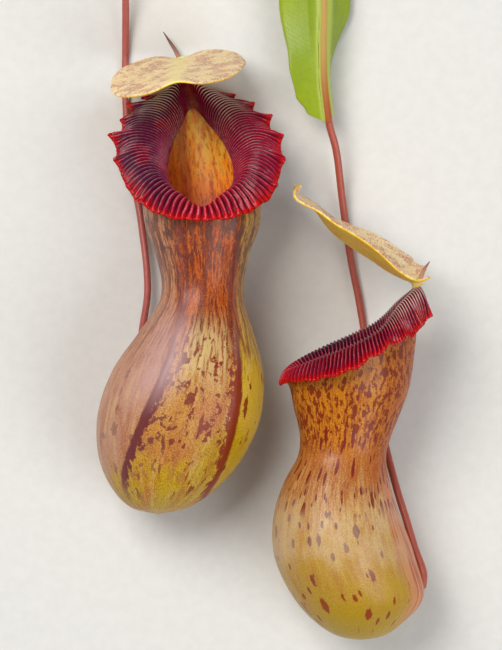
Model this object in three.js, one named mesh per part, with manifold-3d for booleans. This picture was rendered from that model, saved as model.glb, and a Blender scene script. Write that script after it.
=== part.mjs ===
// A cut shoot of a hanging pitcher plant, laid on its back on a flat surface.
//
// One length of vine carries two strap leaves. The midrib of each leaf runs on as a wiry tendril, and each
// tendril ends in a hollow pitcher with a ribbed collar round its mouth, a lid over it and a spur behind it.
//
// Millimetres. The shoot lies on the plane Z = 0 with the stem at +Y and the pitchers at -Y, and +Z is up.
// Each pitcher is shaped in its own frame of side, depth behind the front lip and height above the foot.
import * as THREE from "three";
import Module from "manifold-3d";
import { mergeVertices } from "three/addons/utils/BufferGeometryUtils.js";

const wasm = await Module();
wasm.setup();

// ---------------------------------------------------------------- driving dimensions, mm

const GAP = 0.4; // clearance between two pieces that touch on the plant
const CUP_WALL = 1.4;
const COLLAR_THICKNESS = 1.1;
const LID_THICKNESS = 1;
const BLADE_THICKNESS = 0.9;

const CUP_COLUMNS = 24; // faces round a cup
const CUP_ROWS = 22; // faces from the foot of a cup to its rim
const COLLAR_RIBS = 60;
const RIB_HEIGHT = 0.34; // rise of a rib above the mean surface, and fall of a groove below it
const COLLAR_TEETH = 20;

// Each row of a body is [height, sideways shift, half width, middle depth, half depth].
// Depth is measured backwards from the front lip. A half curve of the mouth runs from the front lip to the
// back as [side, depth, height above the lip], and the other half mirrors it.
// The lid and the spur are given in the pitcher's frame, and the tendril where it lies on the ground.

// The left pitcher lies on its back with its mouth up.
const LEFT_PITCHER = {
  body: [
    [0, -16.2, 0, 28.8, 0],
    [2.5, -15.5, 10.4, 28.4, 9.7],
    [8.6, -13.9, 18.2, 27.9, 18],
    [19.4, -11.5, 25.6, 27, 24.2],
    [35.6, -8.3, 29.5, 24, 27],
    [51.8, -5.2, 27.2, 21.2, 24.5],
    [66.2, -2, 20.5, 20.2, 19.4],
    [77, -0.2, 15.3, 21.6, 16.7],
    [84.2, 0.2, 14.9, 22.7, 17.3],
    [95, 0, 17.3, 23.8, 20.5],
    [105.8, 0, 20.9, 24.1, 23],
  ],
  lipHeight: 110.9,
  lean: -6.8, // sideways shift of the highest point of the mouth
  crest: [
    [0, 0, 0],
    [7.9, 2.9, 4.3],
    [14.8, 10.1, 10.8],
    [18.4, 22.3, 22],
    [14.8, 34.6, 33.5],
    [8.2, 42.4, 41],
    [0, 47, 48.5],
  ],
  inner: [
    [0, 2.2, -1.2],
    [6.3, 5.4, 2.2],
    [11, 12.6, 7.2],
    [11.8, 25.6, 14.5],
    [9.4, 36.4, 23],
    [4.6, 42, 31],
    [0, 43.6, 37],
  ],
  outer: [
    [0, -3.4, -4.9],
    [12.6, -1.7, -3.7],
    [24.2, 7.9, 3.5],
    [29.6, 22.3, 18.2],
    [25.6, 36, 30.7],
    [16.4, 45, 38],
    [0, 50.2, 39],
  ],
  toothLength: 3.6,
  lid: {
    spine: [
      [-8.2, 48.8, 165.8],
      [-8.4, 40, 163.8],
      [-8.6, 24, 160],
      [-8.8, 6, 156.4],
      [-9, -5.5, 153.8],
    ],
    halfWidth: 24.3,
    notch: 0.08,
    fold: -0.04,
    roll: 0.125,
    twist: 0.07,
    bend: 0,
    droop: 1.5,
    saddle: 2.4,
    belly: 0,
    unfold: 0,
    neck: [
      [-6.8, 46.9, 160.5],
      [-8, 43.4, 164.6],
    ],
  },
  spur: [
    [-8.9, 46.8, 166.9],
    [-10.4, 47.8, 169.4],
    [-11.8, 48.4, 171.6],
    [-14.4, 46.6, 175.5],
  ],
  tendril: [
    [-46, 129, 12],
    [-45.8, 117, 7],
    [-46, 99, 1.8],
    [-46, 84, 1.6],
    [-44.4, 62, 2.6],
    [-40.1, 37, 5],
    [-37.8, 13, 6.5],
    [-39.8, -2, 5.5],
    [-42, -19, 2.6],
    [-43, -36, 1.6],
    [-42.6, -49, 1.8],
    [-39.6, -58.5, 3],
    [-34.2, -60, 9],
  ],
  tendrilRadius: 1.3,
};

// The right pitcher lies on its flank, its mouth to the left and raised a little.
const RIGHT_PITCHER = {
  body: [
    [0, 0, 0, 27, 0],
    [2.2, 0, 9.2, 26.9, 9.4],
    [7.9, 0, 16.7, 26.3, 16.9],
    [16.2, 0, 22.7, 25.6, 23.2],
    [30.6, 0, 26.3, 20.7, 24.8],
    [45, 0, 24.3, 18.4, 22.8],
    [57.6, 0, 18.6, 18.5, 19],
    [67, 0, 14, 20.3, 15.9],
    [74, 0, 13.5, 21.5, 16.4],
    [84, 0, 15.8, 22.4, 19.4],
    [93, 0, 18.7, 22.7, 22],
  ],
  lipHeight: 97.2,
  lean: 0,
  crest: [
    [0, 0, 0],
    [7.9, 3.2, 2.3],
    [15.1, 12.2, 6.7],
    [18, 23.8, 11.7],
    [15.8, 33.4, 17.1],
    [7.8, 40.8, 25.3],
    [0, 47.6, 31],
  ],
  inner: [
    [0, 2.2, -1.2],
    [6.4, 5.2, 0.5],
    [11.6, 13, 3],
    [12.4, 24.4, 6],
    [9.6, 35, 11],
    [4.4, 41.6, 17],
    [0, 44, 23],
  ],
  outer: [
    [0, -2.4, -4.3],
    [12.6, 0.6, -1.9],
    [23.6, 10.2, -0.1],
    [28.4, 23, 4],
    [24.6, 35.6, 11.4],
    [13.6, 45.6, 15.2],
    [0, 50.8, 20.2],
  ],
  toothLength: 1.8,
  lid: {
    spine: [
      [0, 54.2, 132.2],
      [0, 46.6, 129.7],
      [0, 38.2, 132.5],
      [0, 30.2, 137.7],
      [0, 23, 142.3],
      [0, 15.9, 148],
      [0, 10.1, 155.5],
      [0, 3.9, 161.7],
      [0, 6.8, 164.2],
    ],
    halfWidth: 22.9,
    notch: 0.1,
    fold: 0.314,
    roll: -0.163,
    twist: 0.186,
    bend: -0.121,
    droop: 0,
    saddle: 0,
    belly: 0.353,
    unfold: 0.495,
    neck: [
      [0, 47.2, 129],
      [0, 46.1, 131],
    ],
  },
  spur: [
    [-0.1, 48.4, 131.9],
    [-0.1, 49.4, 134.2],
    [-0.6, 51.4, 137],
  ],
  tendril: [
    [28.6, 72.6, 13],
    [31, 64, 10],
    [33.5, 45, 4.4],
    [36.7, 23.4, 2.2],
    [39.6, 9, 1.6],
    [42.4, -8, 1.7],
    [45.6, -27, 4],
    [49, -43.9, 9.5],
    [52.9, -59.4, 16],
    [55.6, -68.4, 19],
    [59.4, -81, 22],
    [62.2, -90, 23.8],
    [61.4, -96.4, 24.6],
  ],
  tendrilRadius: 1.35,
};

// Widths and folds of a leaf go by the distance to its tip, and the folds are in radians.
const RIGHT_LEAF = {
  midrib: [
    [14.6, 243.3, 6],
    [16, 225, 10],
    [20, 190, 15],
    [24.6, 150, 17],
    [26.6, 117, 16.5],
    [26.3, 103, 15.5],
    [26.6, 88, 14.4],
    [28.3, 73.6, 13.4],
  ],
  halfWidths: [
    [0, 1.4],
    [4, 7.6],
    [10, 10.8],
    [22, 12.8],
    [44, 16.8],
    [80, 19.6],
    [120, 16],
    [152, 7],
    [175, 3.4],
  ],
  leftFold: [
    [0, 0.1],
    [60, 0.3],
    [175, 0.5],
  ],
  rightFold: [
    [0, 1.3],
    [18, 1.42],
    [44, 0.98],
    [80, 0.4],
    [175, 0.5],
  ],
  baseSlant: -0.42,
};

const LEFT_LEAF = {
  midrib: [
    [-51.2, 271.3, 6],
    [-50.4, 254, 10],
    [-48.2, 220, 15],
    [-46.8, 180, 16],
    [-46.2, 150, 14],
    [-46, 130.2, 12.2],
  ],
  halfWidths: RIGHT_LEAF.halfWidths.map(([toTip, half]) => [toTip * 0.81, half * 0.95]),
  leftFold: [
    [0, 0.6],
    [60, 0.35],
    [150, 0.5],
  ],
  rightFold: [
    [0, 0.5],
    [60, 0.25],
    [150, 0.5],
  ],
  baseSlant: -0.42,
};

const STEM_RADIUS = 4;
const STEM_PATH = [
  [-86, 292, 3.7],
  [-52, 277.4, 3.7],
  [-18, 262.6, 3.9],
  [15, 249, 3.7],
  [52, 233, 3.7],
];
const STEM_NODES = [0.245, 0.735]; // where the leaves stand, as shares of the stem

// Where the frame of each pitcher lies: the level of its foot, under the middle of its front lip.
const LEFT_FOOT = [-17.6, -68.4, 51.2];
const RIGHT_FOOT = [12.5, -113.8, 23.3];
const FLANK_TILT = THREE.MathUtils.degToRad(5); // the mouth end of the right pitcher is raised

// ---------------------------------------------------------------- curves and meshes

const point = (x, y, z) => new THREE.Vector3(x, y, z);

/** A mouth curve: the half curve and its mirror image, closed, with the lean of the mouth added. */
function mouthCurve(pitcher, half) {
  const top = pitcher.crest.at(-1)[2];
  const leaning = (side, depth, rise) =>
    point(side + pitcher.lean * (rise / top) ** 2, depth, pitcher.lipHeight + rise);
  const right = half.map(([side, depth, rise]) => leaning(side, depth, rise));
  const left = half
    .slice(1, -1)
    .reverse()
    .map(([side, depth, rise]) => leaning(-side, depth, rise));
  return new THREE.CatmullRomCurve3([...right, ...left], true, "catmullrom");
}

/** A closed mesh from its points and faces. Faces that point inwards as a whole are turned round. */
function closedMesh(points, faces) {
  let volume = 0;
  for (const [a, b, c] of faces)
    volume += points[a].dot(point(0, 0, 0).crossVectors(points[b], points[c]));
  const outward = volume > 0 ? faces : faces.map(([a, b, c]) => [a, c, b]);
  return new THREE.BufferGeometry()
    .setAttribute(
      "position",
      new THREE.Float32BufferAttribute(points.flatMap((p) => p.toArray()), 3),
    )
    .setIndex(outward.flat());
}

/** The two triangles of the face a, b, c, d, split along its shorter diagonal. */
function split(points, a, b, c, d) {
  return points[a].distanceTo(points[c]) <= points[b].distanceTo(points[d])
    ? [
        [a, b, c],
        [a, c, d],
      ]
    : [
        [a, b, d],
        [b, c, d],
      ];
}

/** Faces between rings of equal length, each ring closed on itself. */
function bandFaces(points, rings) {
  return rings
    .slice(1)
    .flatMap((ring, row) =>
      ring.flatMap((_, k) => {
        const next = (k + 1) % ring.length;
        return split(points, rings[row][k], rings[row][next], ring[next], ring[k]);
      }),
    );
}

/** A round rod along a curve, as thick at each point as radiusAt says, with flat ends. */
function rod(curve, steps, sides, radiusAt) {
  const frames = curve.computeFrenetFrames(steps, false);
  const points = [];
  const rings = [];
  for (let i = 0; i <= steps; i++) {
    const middle = curve.getPointAt(i / steps);
    const radius = radiusAt(i / steps);
    rings.push(
      Array.from({ length: sides }, (_, k) => {
        const turn = (2 * Math.PI * k) / sides;
        points.push(
          middle
            .clone()
            .addScaledVector(frames.normals[i], radius * Math.cos(turn))
            .addScaledVector(frames.binormals[i], radius * Math.sin(turn)),
        );
        return points.length - 1;
      }),
    );
  }
  const faces = bandFaces(points, rings);
  const first = points.push(curve.getPointAt(0)) - 1;
  const last = points.push(curve.getPointAt(1)) - 1;
  for (let k = 0; k < sides; k++) {
    const next = (k + 1) % sides;
    faces.push([first, rings[0][next], rings[0][k]]);
    faces.push([last, rings[steps][k], rings[steps][next]]);
  }
  return closedMesh(points, faces);
}

/** A thin blade: surfaceAt(u, v) is its upper face for u and v from 0 to 1, thickened downwards. */
function blade(columns, rows, surfaceAt, thickness) {
  const step = 1e-3;
  const points = [];
  const sheet = (drop) =>
    Array.from({ length: rows + 1 }, (_, j) =>
      Array.from({ length: columns + 1 }, (_, i) => {
        const [u, v] = [i / columns, j / rows];
        const along = surfaceAt(u + step, v).sub(surfaceAt(u - step, v));
        const across = surfaceAt(u, v + step).sub(surfaceAt(u, v - step));
        const normal = along.cross(across).normalize();
        return points.push(surfaceAt(u, v).addScaledVector(normal, -drop)) - 1;
      }),
    );
  const [above, below] = [sheet(0), sheet(thickness)];
  const faces = [];
  for (let j = 0; j < rows; j++)
    for (let i = 0; i < columns; i++) {
      const corners = (s) => [s[j][i], s[j][i + 1], s[j + 1][i + 1], s[j + 1][i]];
      const top = split(points, ...corners(above));
      faces.push(...top);
      const under = new Map(corners(above).map((a, k) => [a, corners(below)[k]]));
      faces.push(...top.map(([a, b, c]) => [under.get(a), under.get(c), under.get(b)]));
    }
  const edgeOf = (s) => [
    ...s[0],
    ...s.slice(1).map((row) => row[columns]),
    ...s[rows].slice(0, columns).reverse(),
    ...s
      .slice(1, rows)
      .reverse()
      .map((row) => row[0]),
  ];
  faces.push(...bandFaces(points, [edgeOf(below), edgeOf(above)]));
  return closedMesh(points, faces);
}

/** A mesh as a solid that can be joined or cut. */
function solid(geometry) {
  const bare = new THREE.BufferGeometry()
    .setAttribute("position", geometry.getAttribute("position"))
    .setIndex(geometry.index);
  const merged = mergeVertices(bare, 1e-4);
  return new wasm.Manifold(
    new wasm.Mesh({
      numProp: 3,
      vertProperties: merged.attributes.position.array,
      triVerts: new Uint32Array(merged.index.array),
    }),
  );
}

/** A solid as a geometry. */
function geometryOf(shape) {
  const { vertProperties, triVerts } = shape.getMesh();
  return new THREE.BufferGeometry()
    .setAttribute("position", new THREE.BufferAttribute(vertProperties, 3))
    .setIndex(new THREE.BufferAttribute(triVerts, 1));
}

// ---------------------------------------------------------------- the pitcher

/** The three curves of a mouth: the crest of the collar, its inner edge and its outer edge. */
const mouthCurves = (pitcher) => ({
  crest: mouthCurve(pitcher, pitcher.crest),
  inner: mouthCurve(pitcher, pitcher.inner),
  outer: mouthCurve(pitcher, pitcher.outer),
});

/** The crest at t, with the direction out across the collar and the direction up, away from its edges. */
function mouthFrame(mouth, t) {
  const middle = mouth.crest.getPoint(t);
  const inner = mouth.inner.getPoint(t).sub(middle);
  const outer = mouth.outer.getPoint(t).sub(middle);
  const up = inner.clone().add(outer).negate().normalize();
  const out = outer.clone().sub(inner);
  out.addScaledVector(up, -out.dot(up)).normalize();
  return { middle, inner, outer, out, up };
}

/** A line up the cup's wall from its foot to its rim, at a turn of 0 to 1 from the front. */
function wallMeridian(pitcher, mouth, turn, inset) {
  const angle = 2 * Math.PI * turn;
  const footRise = 20; // the inside leaves the foot over this height
  const ring = pitcher.body.map(([height, shift, halfWidth, depth, halfDepth]) => {
    const across = Math.max(halfWidth - inset, 0);
    const deep = Math.max(halfDepth - inset, 0);
    return point(
      shift + across * Math.sin(angle),
      depth - deep * Math.cos(angle),
      height + inset * Math.max(0, 1 - height / footRise),
    );
  });
  const rimDrop = 3.6 + 1.8 * Math.sin(Math.PI * turn) ** 8;
  const { middle, out, up } = mouthFrame(mouth, turn);
  const rim = middle.addScaledVector(up, -rimDrop).addScaledVector(out, 0.6 - inset);
  return new THREE.CatmullRomCurve3([...ring, rim], false, "centripetal");
}

/** The hollow cup: an outer and an inner skin that meet at the rim. */
function cup(pitcher) {
  const mouth = mouthCurves(pitcher);
  const points = [];
  const skin = (inset) => {
    const meridians = Array.from({ length: CUP_COLUMNS }, (_, k) =>
      wallMeridian(pitcher, mouth, k / CUP_COLUMNS, inset),
    );
    const foot = points.push(meridians[0].getPoint(0)) - 1;
    const rings = Array.from({ length: CUP_ROWS }, (_, row) =>
      meridians.map((m) => points.push(m.getPoint((row + 1) / CUP_ROWS)) - 1),
    );
    return { foot, rings };
  };
  const [outside, inside] = [skin(0), skin(CUP_WALL)];
  const faces = bandFaces(points, [...outside.rings, ...inside.rings.reverse()]);
  for (let k = 0; k < CUP_COLUMNS; k++) {
    const next = (k + 1) % CUP_COLUMNS;
    faces.push([outside.foot, outside.rings[0][next], outside.rings[0][k]]);
    faces.push([inside.foot, inside.rings.at(-1)[k], inside.rings.at(-1)[next]]);
  }
  return closedMesh(points, faces);
}

/** The ribbed collar: it rolls over the crest of the mouth, from its inner edge to its toothed outer edge. */
function collar(pitcher) {
  const innerSteps = 3;
  const outerSteps = 4;
  const mouth = mouthCurves(pitcher);
  const columns = 2 * COLLAR_RIBS;

  // The smooth upper face: share -1 is the inner edge, 0 the crest and 1 the outer edge.
  const faceAt = (around, share) => {
    const t = mouth.crest.getUtoTmapping((around + 1) % 1);
    const { middle, inner, outer, up } = mouthFrame(mouth, t);
    const reach = share < 0 ? inner : outer;
    const drop = reach.dot(up);
    const level = reach.addScaledVector(up, -drop);
    const full = (share < 0 ? 0.42 : 0.36) * Math.PI;
    const bend = Math.abs(share) * full;
    const place = middle
      .addScaledVector(level, Math.sin(bend) / Math.sin(full))
      .addScaledVector(up, (drop * (1 - Math.cos(bend))) / (1 - Math.cos(full)));
    if (share > 0) {
      const side = 0.1 + 0.9 * Math.sin(Math.PI * t) ** 2;
      const wave = Math.cos(2 * Math.PI * (COLLAR_TEETH * Math.min(t, 1 - t) + 0.25));
      const tooth = pitcher.toothLength * side * share ** 3;
      place.addScaledVector(level.normalize(), tooth * (0.5 + 0.5 * wave) ** 1.5);
      place.addScaledVector(up, 0.35 * tooth * wave);
    }
    return place;
  };
  const normalAt = (around, share) => {
    const step = 2e-3;
    const low = share > 0 ? Math.max(share - 0.05, 0.001) : Math.max(share - 0.05, -1);
    const high = share > 0 ? Math.min(share + 0.05, 1) : Math.min(share + 0.05, -0.001);
    const along = faceAt(around + step, share).sub(faceAt(around - step, share));
    const across = faceAt(around, high).sub(faceAt(around, low));
    return across.cross(along).normalize();
  };

  const shares = [
    ...Array.from({ length: innerSteps }, (_, i) => -1 + i / innerSteps),
    ...Array.from({ length: outerSteps + 1 }, (_, i) => i / outerSteps),
  ];
  const points = [];
  const ringAt = (share, drop, ribbed) =>
    Array.from({ length: columns }, (_, k) => {
      const rib = ribbed ? RIB_HEIGHT * (k % 2 ? 1 : -1) : 0;
      const around = k / columns;
      const place = faceAt(around, share);
      return points.push(place.addScaledVector(normalAt(around, share), rib - drop)) - 1;
    });
  const above = shares.map((share, i) =>
    ringAt(share, 0, i > 0 && i < shares.length - 1),
  );
  const below = shares
    .filter((_, i) => i % 2 === 0 || i === shares.length - 1)
    .map((share) => ringAt(share, COLLAR_THICKNESS, false))
    .reverse();
  return closedMesh(points, bandFaces(points, [...above, ...below, above[0]]));
}

/** The biggest body of a solid, without the slivers that a cut has left. */
const largest = (shape) =>
  shape.decompose().reduce((best, body) => (body.volume() > best.volume() ? body : best));

/** The room a cup takes up, its hollow included, grown by the clearance. */
function cupRoom(pitcher) {
  const mouth = mouthCurves(pitcher);
  const points = [];
  const meridians = Array.from({ length: CUP_COLUMNS }, (_, k) =>
    wallMeridian(pitcher, mouth, k / CUP_COLUMNS, -GAP),
  );
  const rings = Array.from({ length: CUP_ROWS }, (_, row) =>
    meridians.map((m) => points.push(m.getPoint((row + 1) / CUP_ROWS)) - 1),
  );
  const foot = points.push(meridians[0].getPoint(0).add(point(0, 0, -GAP))) - 1;
  const top = points.push(point(0, 24, pitcher.lipHeight)) - 1;
  const faces = bandFaces(points, rings);
  for (let k = 0; k < CUP_COLUMNS; k++) {
    const next = (k + 1) % CUP_COLUMNS;
    faces.push([foot, rings[0][next], rings[0][k]]);
    faces.push([top, rings.at(-1)[k], rings.at(-1)[next]]);
  }
  return closedMesh(points, faces);
}

/** A lid on its short neck: an oval plate with a notched base, folded along its spine. */
function lid({ spine, halfWidth, notch, fold, roll, twist, bend, droop, saddle, belly, unfold, neck }) {
  const line = new THREE.CatmullRomCurve3(
    spine.map(([shift, depth, height]) => point(shift, depth, height)),
    false,
    "centripetal",
  );
  const surface = (u, v) => {
    const [a, b] = [2 * u - 1, 2 * v - 1];
    const across = a * Math.sqrt(1 - (b * b) / 2);
    const along = 0.5 + 0.5 * b * Math.sqrt(1 - (a * a) / 2);
    const cleft = notch * Math.max(0, 1 - 2.6 * along) ** 2 * Math.exp(-((across / 0.22) ** 2));
    const share = Math.min(Math.max(along + cleft, 0), 1);
    const wave = 0.5 * across * across * Math.sin(9 * along + 2 * Math.sign(across));
    const side = halfWidth * across;
    const lift =
      (fold - unfold * along) * halfWidth * (Math.sqrt(across * across + 0.012) - 0.11) +
      (roll + twist * along + bend * 4 * along * (1 - along)) * side +
      belly * (4 * along * (1 - along)) ** 2 * Math.max(side, 0) -
      droop * across * across * along +
      saddle * (1 - 2 * along) * (1 - Math.exp(-((across / 0.28) ** 2))) +
      wave;
    const tangent = line.getTangent(share);
    const normal = point(0, tangent.z, -tangent.y).normalize();
    return line.getPoint(share).add(point(side, 0, 0)).addScaledVector(normal, lift);
  };
  const plate = solid(blade(12, 12, surface, LID_THICKNESS));
  const stalk = rod(new THREE.LineCurve3(point(...neck[0]), point(...neck[1])), 1, 10, () => 1.9);
  return plate.add(solid(stalk));
}

/** A spur: a thin horn along a curve, blunt at its tip. */
function spur(path) {
  const curve = new THREE.CatmullRomCurve3(path.map((p) => point(...p)));
  return solid(rod(curve, 8, 8, (share) => 1 - 0.6 * share));
}

// ---------------------------------------------------------------- the vine

/** The value at x of a row of [x, value] pairs. */
function along(rows, x) {
  const next = rows.findIndex(([at]) => at >= x);
  if (next <= 0) return rows.at(next)[1];
  const [[x0, v0], [x1, v1]] = [rows[next - 1], rows[next]];
  const share = (x - x0) / (x1 - x0);
  return v0 + (v1 - v0) * share * share * (3 - 2 * share);
}

/** A strap leaf from its base to its tip, with a raised midrib, waved margins and each half folded down. */
function leafBlade({ midrib, halfWidths, leftFold, rightFold, baseSlant }) {
  const line = new THREE.CatmullRomCurve3(midrib.map((p) => point(...p)));
  const length = line.getLength();
  const surface = (u, v) => {
    const share = Math.max(1 - Math.max(1 - v, 0) ** 1.25, 0);
    const toTip = (1 - share) * length;
    const spread = 2 * u - 1;
    const side = Math.abs(spread) * (0.35 + 0.65 * Math.abs(spread));
    const half = along(halfWidths, toTip);
    const fold = along(spread < 0 ? leftFold : rightFold, toTip) * Math.min(1, 3 * side);
    const wave = 0.9 * side ** 2 * Math.sin(toTip / 7 + 1.5 * Math.sign(spread)) * Math.min(1, half / 12);
    const ridge = 0.7 * Math.max(0, 1 - (side * half) / 1.6);
    return line
      .getPointAt(share)
      .add(
        point(
          Math.sign(spread) * side * half * Math.cos(fold),
          baseSlant * spread * half * (1 - share) ** 6,
          wave + ridge - side * half * Math.sin(fold),
        ),
      );
  };
  return solid(blade(12, 20, surface, BLADE_THICKNESS));
}

/** A tendril of even thickness along its path. */
function tendril(path, radius) {
  const outline = new THREE.Shape().absarc(0, 0, radius, 0, 2 * Math.PI);
  const extrudePath = new THREE.CatmullRomCurve3(path.map((p) => point(...p)), false, "centripetal");
  const steps = 54;
  return solid(
    new THREE.ExtrudeGeometry(outline, { steps, curveSegments: 4, bevelEnabled: false, extrudePath }),
  );
}

/** The cut length of vine: a round stem with a swollen node under each leaf. */
function stem() {
  const outline = new THREE.Shape().absarc(0, 0, STEM_RADIUS, 0, 2 * Math.PI);
  const extrudePath = new THREE.CatmullRomCurve3(STEM_PATH.map((p) => point(...p)));
  let shape = solid(
    new THREE.ExtrudeGeometry(outline, { steps: 8, curveSegments: 6, bevelEnabled: false, extrudePath }),
  );
  const profile = [
    [0, -7],
    [STEM_RADIUS * 0.8, -7],
    [STEM_RADIUS + 0.9, -1.5],
    [STEM_RADIUS + 0.9, 1],
    [STEM_RADIUS * 0.8, 4],
    [0, 4],
  ];
  for (const share of STEM_NODES) {
    const node = new THREE.LatheGeometry(
      profile.map(([r, h]) => new THREE.Vector2(r, h)),
      12,
    );
    const way = extrudePath.getTangentAt(share);
    const turn = new THREE.Quaternion().setFromUnitVectors(point(0, 1, 0), way);
    node.applyQuaternion(turn);
    node.translate(...extrudePath.getPointAt(share).toArray());
    shape = shape.add(solid(node));
  }
  return shape;
}

// ---------------------------------------------------------------- the shoot on the ground

/** What lies below the ground plane is cut off, which leaves small flat spots to rest on. */
function rested(shape) {
  const ground = new THREE.BoxGeometry(600, 900, 40).translate(0, 100, -20);
  return largest(shape.subtract(solid(ground)));
}

const group = new THREE.Group();

function add(name, shape, color, roughness) {
  const material = new THREE.MeshStandardMaterial({ color, roughness, metalness: 0 });
  const mesh = new THREE.Mesh(geometryOf(shape), material);
  mesh.name = name;
  group.add(mesh);
  return mesh;
}

/** One pitcher with its lid, spur and tendril, laid where its placement puts it. */
function addPitcher(side, pitcher, placement) {
  const laid = (geometry) => solid(geometry.applyMatrix4(placement));
  const turned = (shape) => shape.transform(placement.toArray());
  const cord = tendril(pitcher.tendril, pitcher.tendrilRadius);
  add(`${side}_cup`, rested(laid(cup(pitcher))), "#b98a4e", 0.45);
  add(`${side}_collar`, rested(laid(collar(pitcher))), "#8c1226", 0.25);
  add(`${side}_lid`, rested(turned(lid(pitcher.lid))), "#dcc08c", 0.55);
  add(`${side}_spur`, rested(turned(spur(pitcher.spur))), "#6e4a36", 0.6);
  add(`${side}_tendril`, rested(cord.subtract(laid(cupRoom(pitcher)))), "#a8563f", 0.5);
}

const onItsBack = new THREE.Matrix4()
  .makeBasis(point(1, 0, 0), point(0, 0, -1), point(0, 1, 0))
  .setPosition(...LEFT_FOOT);
const onItsFlank = new THREE.Matrix4()
  .makeRotationX(FLANK_TILT)
  .multiply(new THREE.Matrix4().makeBasis(point(0, 0, 1), point(1, 0, 0), point(0, 1, 0)))
  .setPosition(...RIGHT_FOOT);

addPitcher("left", LEFT_PITCHER, onItsBack);
addPitcher("right", RIGHT_PITCHER, onItsFlank);
add("right_leaf", rested(leafBlade(RIGHT_LEAF)), "#8fa83a", 0.4);
add("left_leaf", rested(leafBlade(LEFT_LEAF)), "#8fa83a", 0.4);
add("stem", rested(stem()), "#8a7a45", 0.6);

// The origin is put at the middle of the footprint.
const box = new THREE.Box3().setFromObject(group);
const middle = box.getCenter(point(0, 0, 0));
for (const mesh of group.children) mesh.geometry.translate(-middle.x, -middle.y, -box.min.z);

export default group;
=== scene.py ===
"""The looks of a cut pitcher plant shoot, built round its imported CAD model.

Each operator makes one piece or a group of like pieces from the dimensions at the top, in metres, in the CAD
model's own frame. Geometry Nodes make the ribs of the collars, the tendrils, the spurs, the necks of the lids
and the stem.
"""

import math

import bpy
import numpy as np
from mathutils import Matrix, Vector


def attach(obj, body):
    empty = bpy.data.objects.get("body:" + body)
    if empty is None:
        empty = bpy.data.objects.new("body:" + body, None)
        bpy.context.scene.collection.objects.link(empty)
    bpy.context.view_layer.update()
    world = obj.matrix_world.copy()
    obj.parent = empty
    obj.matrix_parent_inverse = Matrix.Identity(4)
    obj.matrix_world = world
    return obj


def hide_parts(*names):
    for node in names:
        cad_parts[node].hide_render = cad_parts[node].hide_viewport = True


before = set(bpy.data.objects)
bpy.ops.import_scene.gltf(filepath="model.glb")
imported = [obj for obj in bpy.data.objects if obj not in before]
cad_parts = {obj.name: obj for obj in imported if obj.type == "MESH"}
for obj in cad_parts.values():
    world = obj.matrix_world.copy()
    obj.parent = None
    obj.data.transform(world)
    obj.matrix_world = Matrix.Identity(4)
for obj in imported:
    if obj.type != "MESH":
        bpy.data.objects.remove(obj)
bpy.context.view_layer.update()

bl_info = {
    "name": "Pitcher Plant Shoot",
    "version": (1, 0, 0),
    "blender": (4, 5, 0),
    "location": "View3D > Sidebar > Pitcher Plant",
    "description": "Builds a cut shoot of a hanging pitcher plant over its CAD model",
    "category": "Object",
}

# ---------------------------------------------------------------- dimensions, mm

# A point where the shoot was drawn becomes a point of the CAD model by adding this.
ORIGIN = np.array([11.34304, -90.93774, 0.0])

CUP_WALL = 1.4
# A cup's rim sits this far below the crest of its collar, further at the back, and this far out from it.
RIM_DROP = 3.6
RIM_DROP_BACK = 1.8
RIM_OUT = 0.6
# The radius at which a wall is unrolled for its pattern.
WALL_RADIUS = 20.0
# The distance given where no coloured rib is near.
NO_RIB_NEAR = 99

COLLAR_THICKNESS = 1.1
COLLAR_TEETH = 20
# How far a collar curls from its crest to each edge, as a share of a half turn.
INNER_BEND = 0.42
OUTER_BEND = 0.36
TOOTH_LIFT = 0.4
EDGE_ROUNDING = 0.35
UNDER_ROWS = 16
POINTS_PER_RIB = 12
# Points round a cup by points up it, and squares across a lid and a leaf by squares along them.
WALL_GRID = (192, 200)
LID_GRID = (110, 110)
LEAF_GRID = (64, 400)

LID_THICKNESS = 1.0
BLADE_THICKNESS = 0.9
LEAF_SLANT = -0.42
SPUR_RADIUS = 0.861
SPUR_TIP = 0.16
NECK_RADIUS = 1.75
NECK_FLARE = 0.5
# A tendril thickens over its first stretch, from its leaf, and swells over its last, at its pitcher.
TENDRIL_TAPER = 16
HEEL_LENGTH = 7
NECK_POINTS = 14
SPUR_POINTS = 40
STEM_POINTS = 240
# Points along a tendril's whole route, and the one at which it meets the pitcher's wall.
TENDRIL_POINTS = 260
TENDRIL_END = 257

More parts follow.
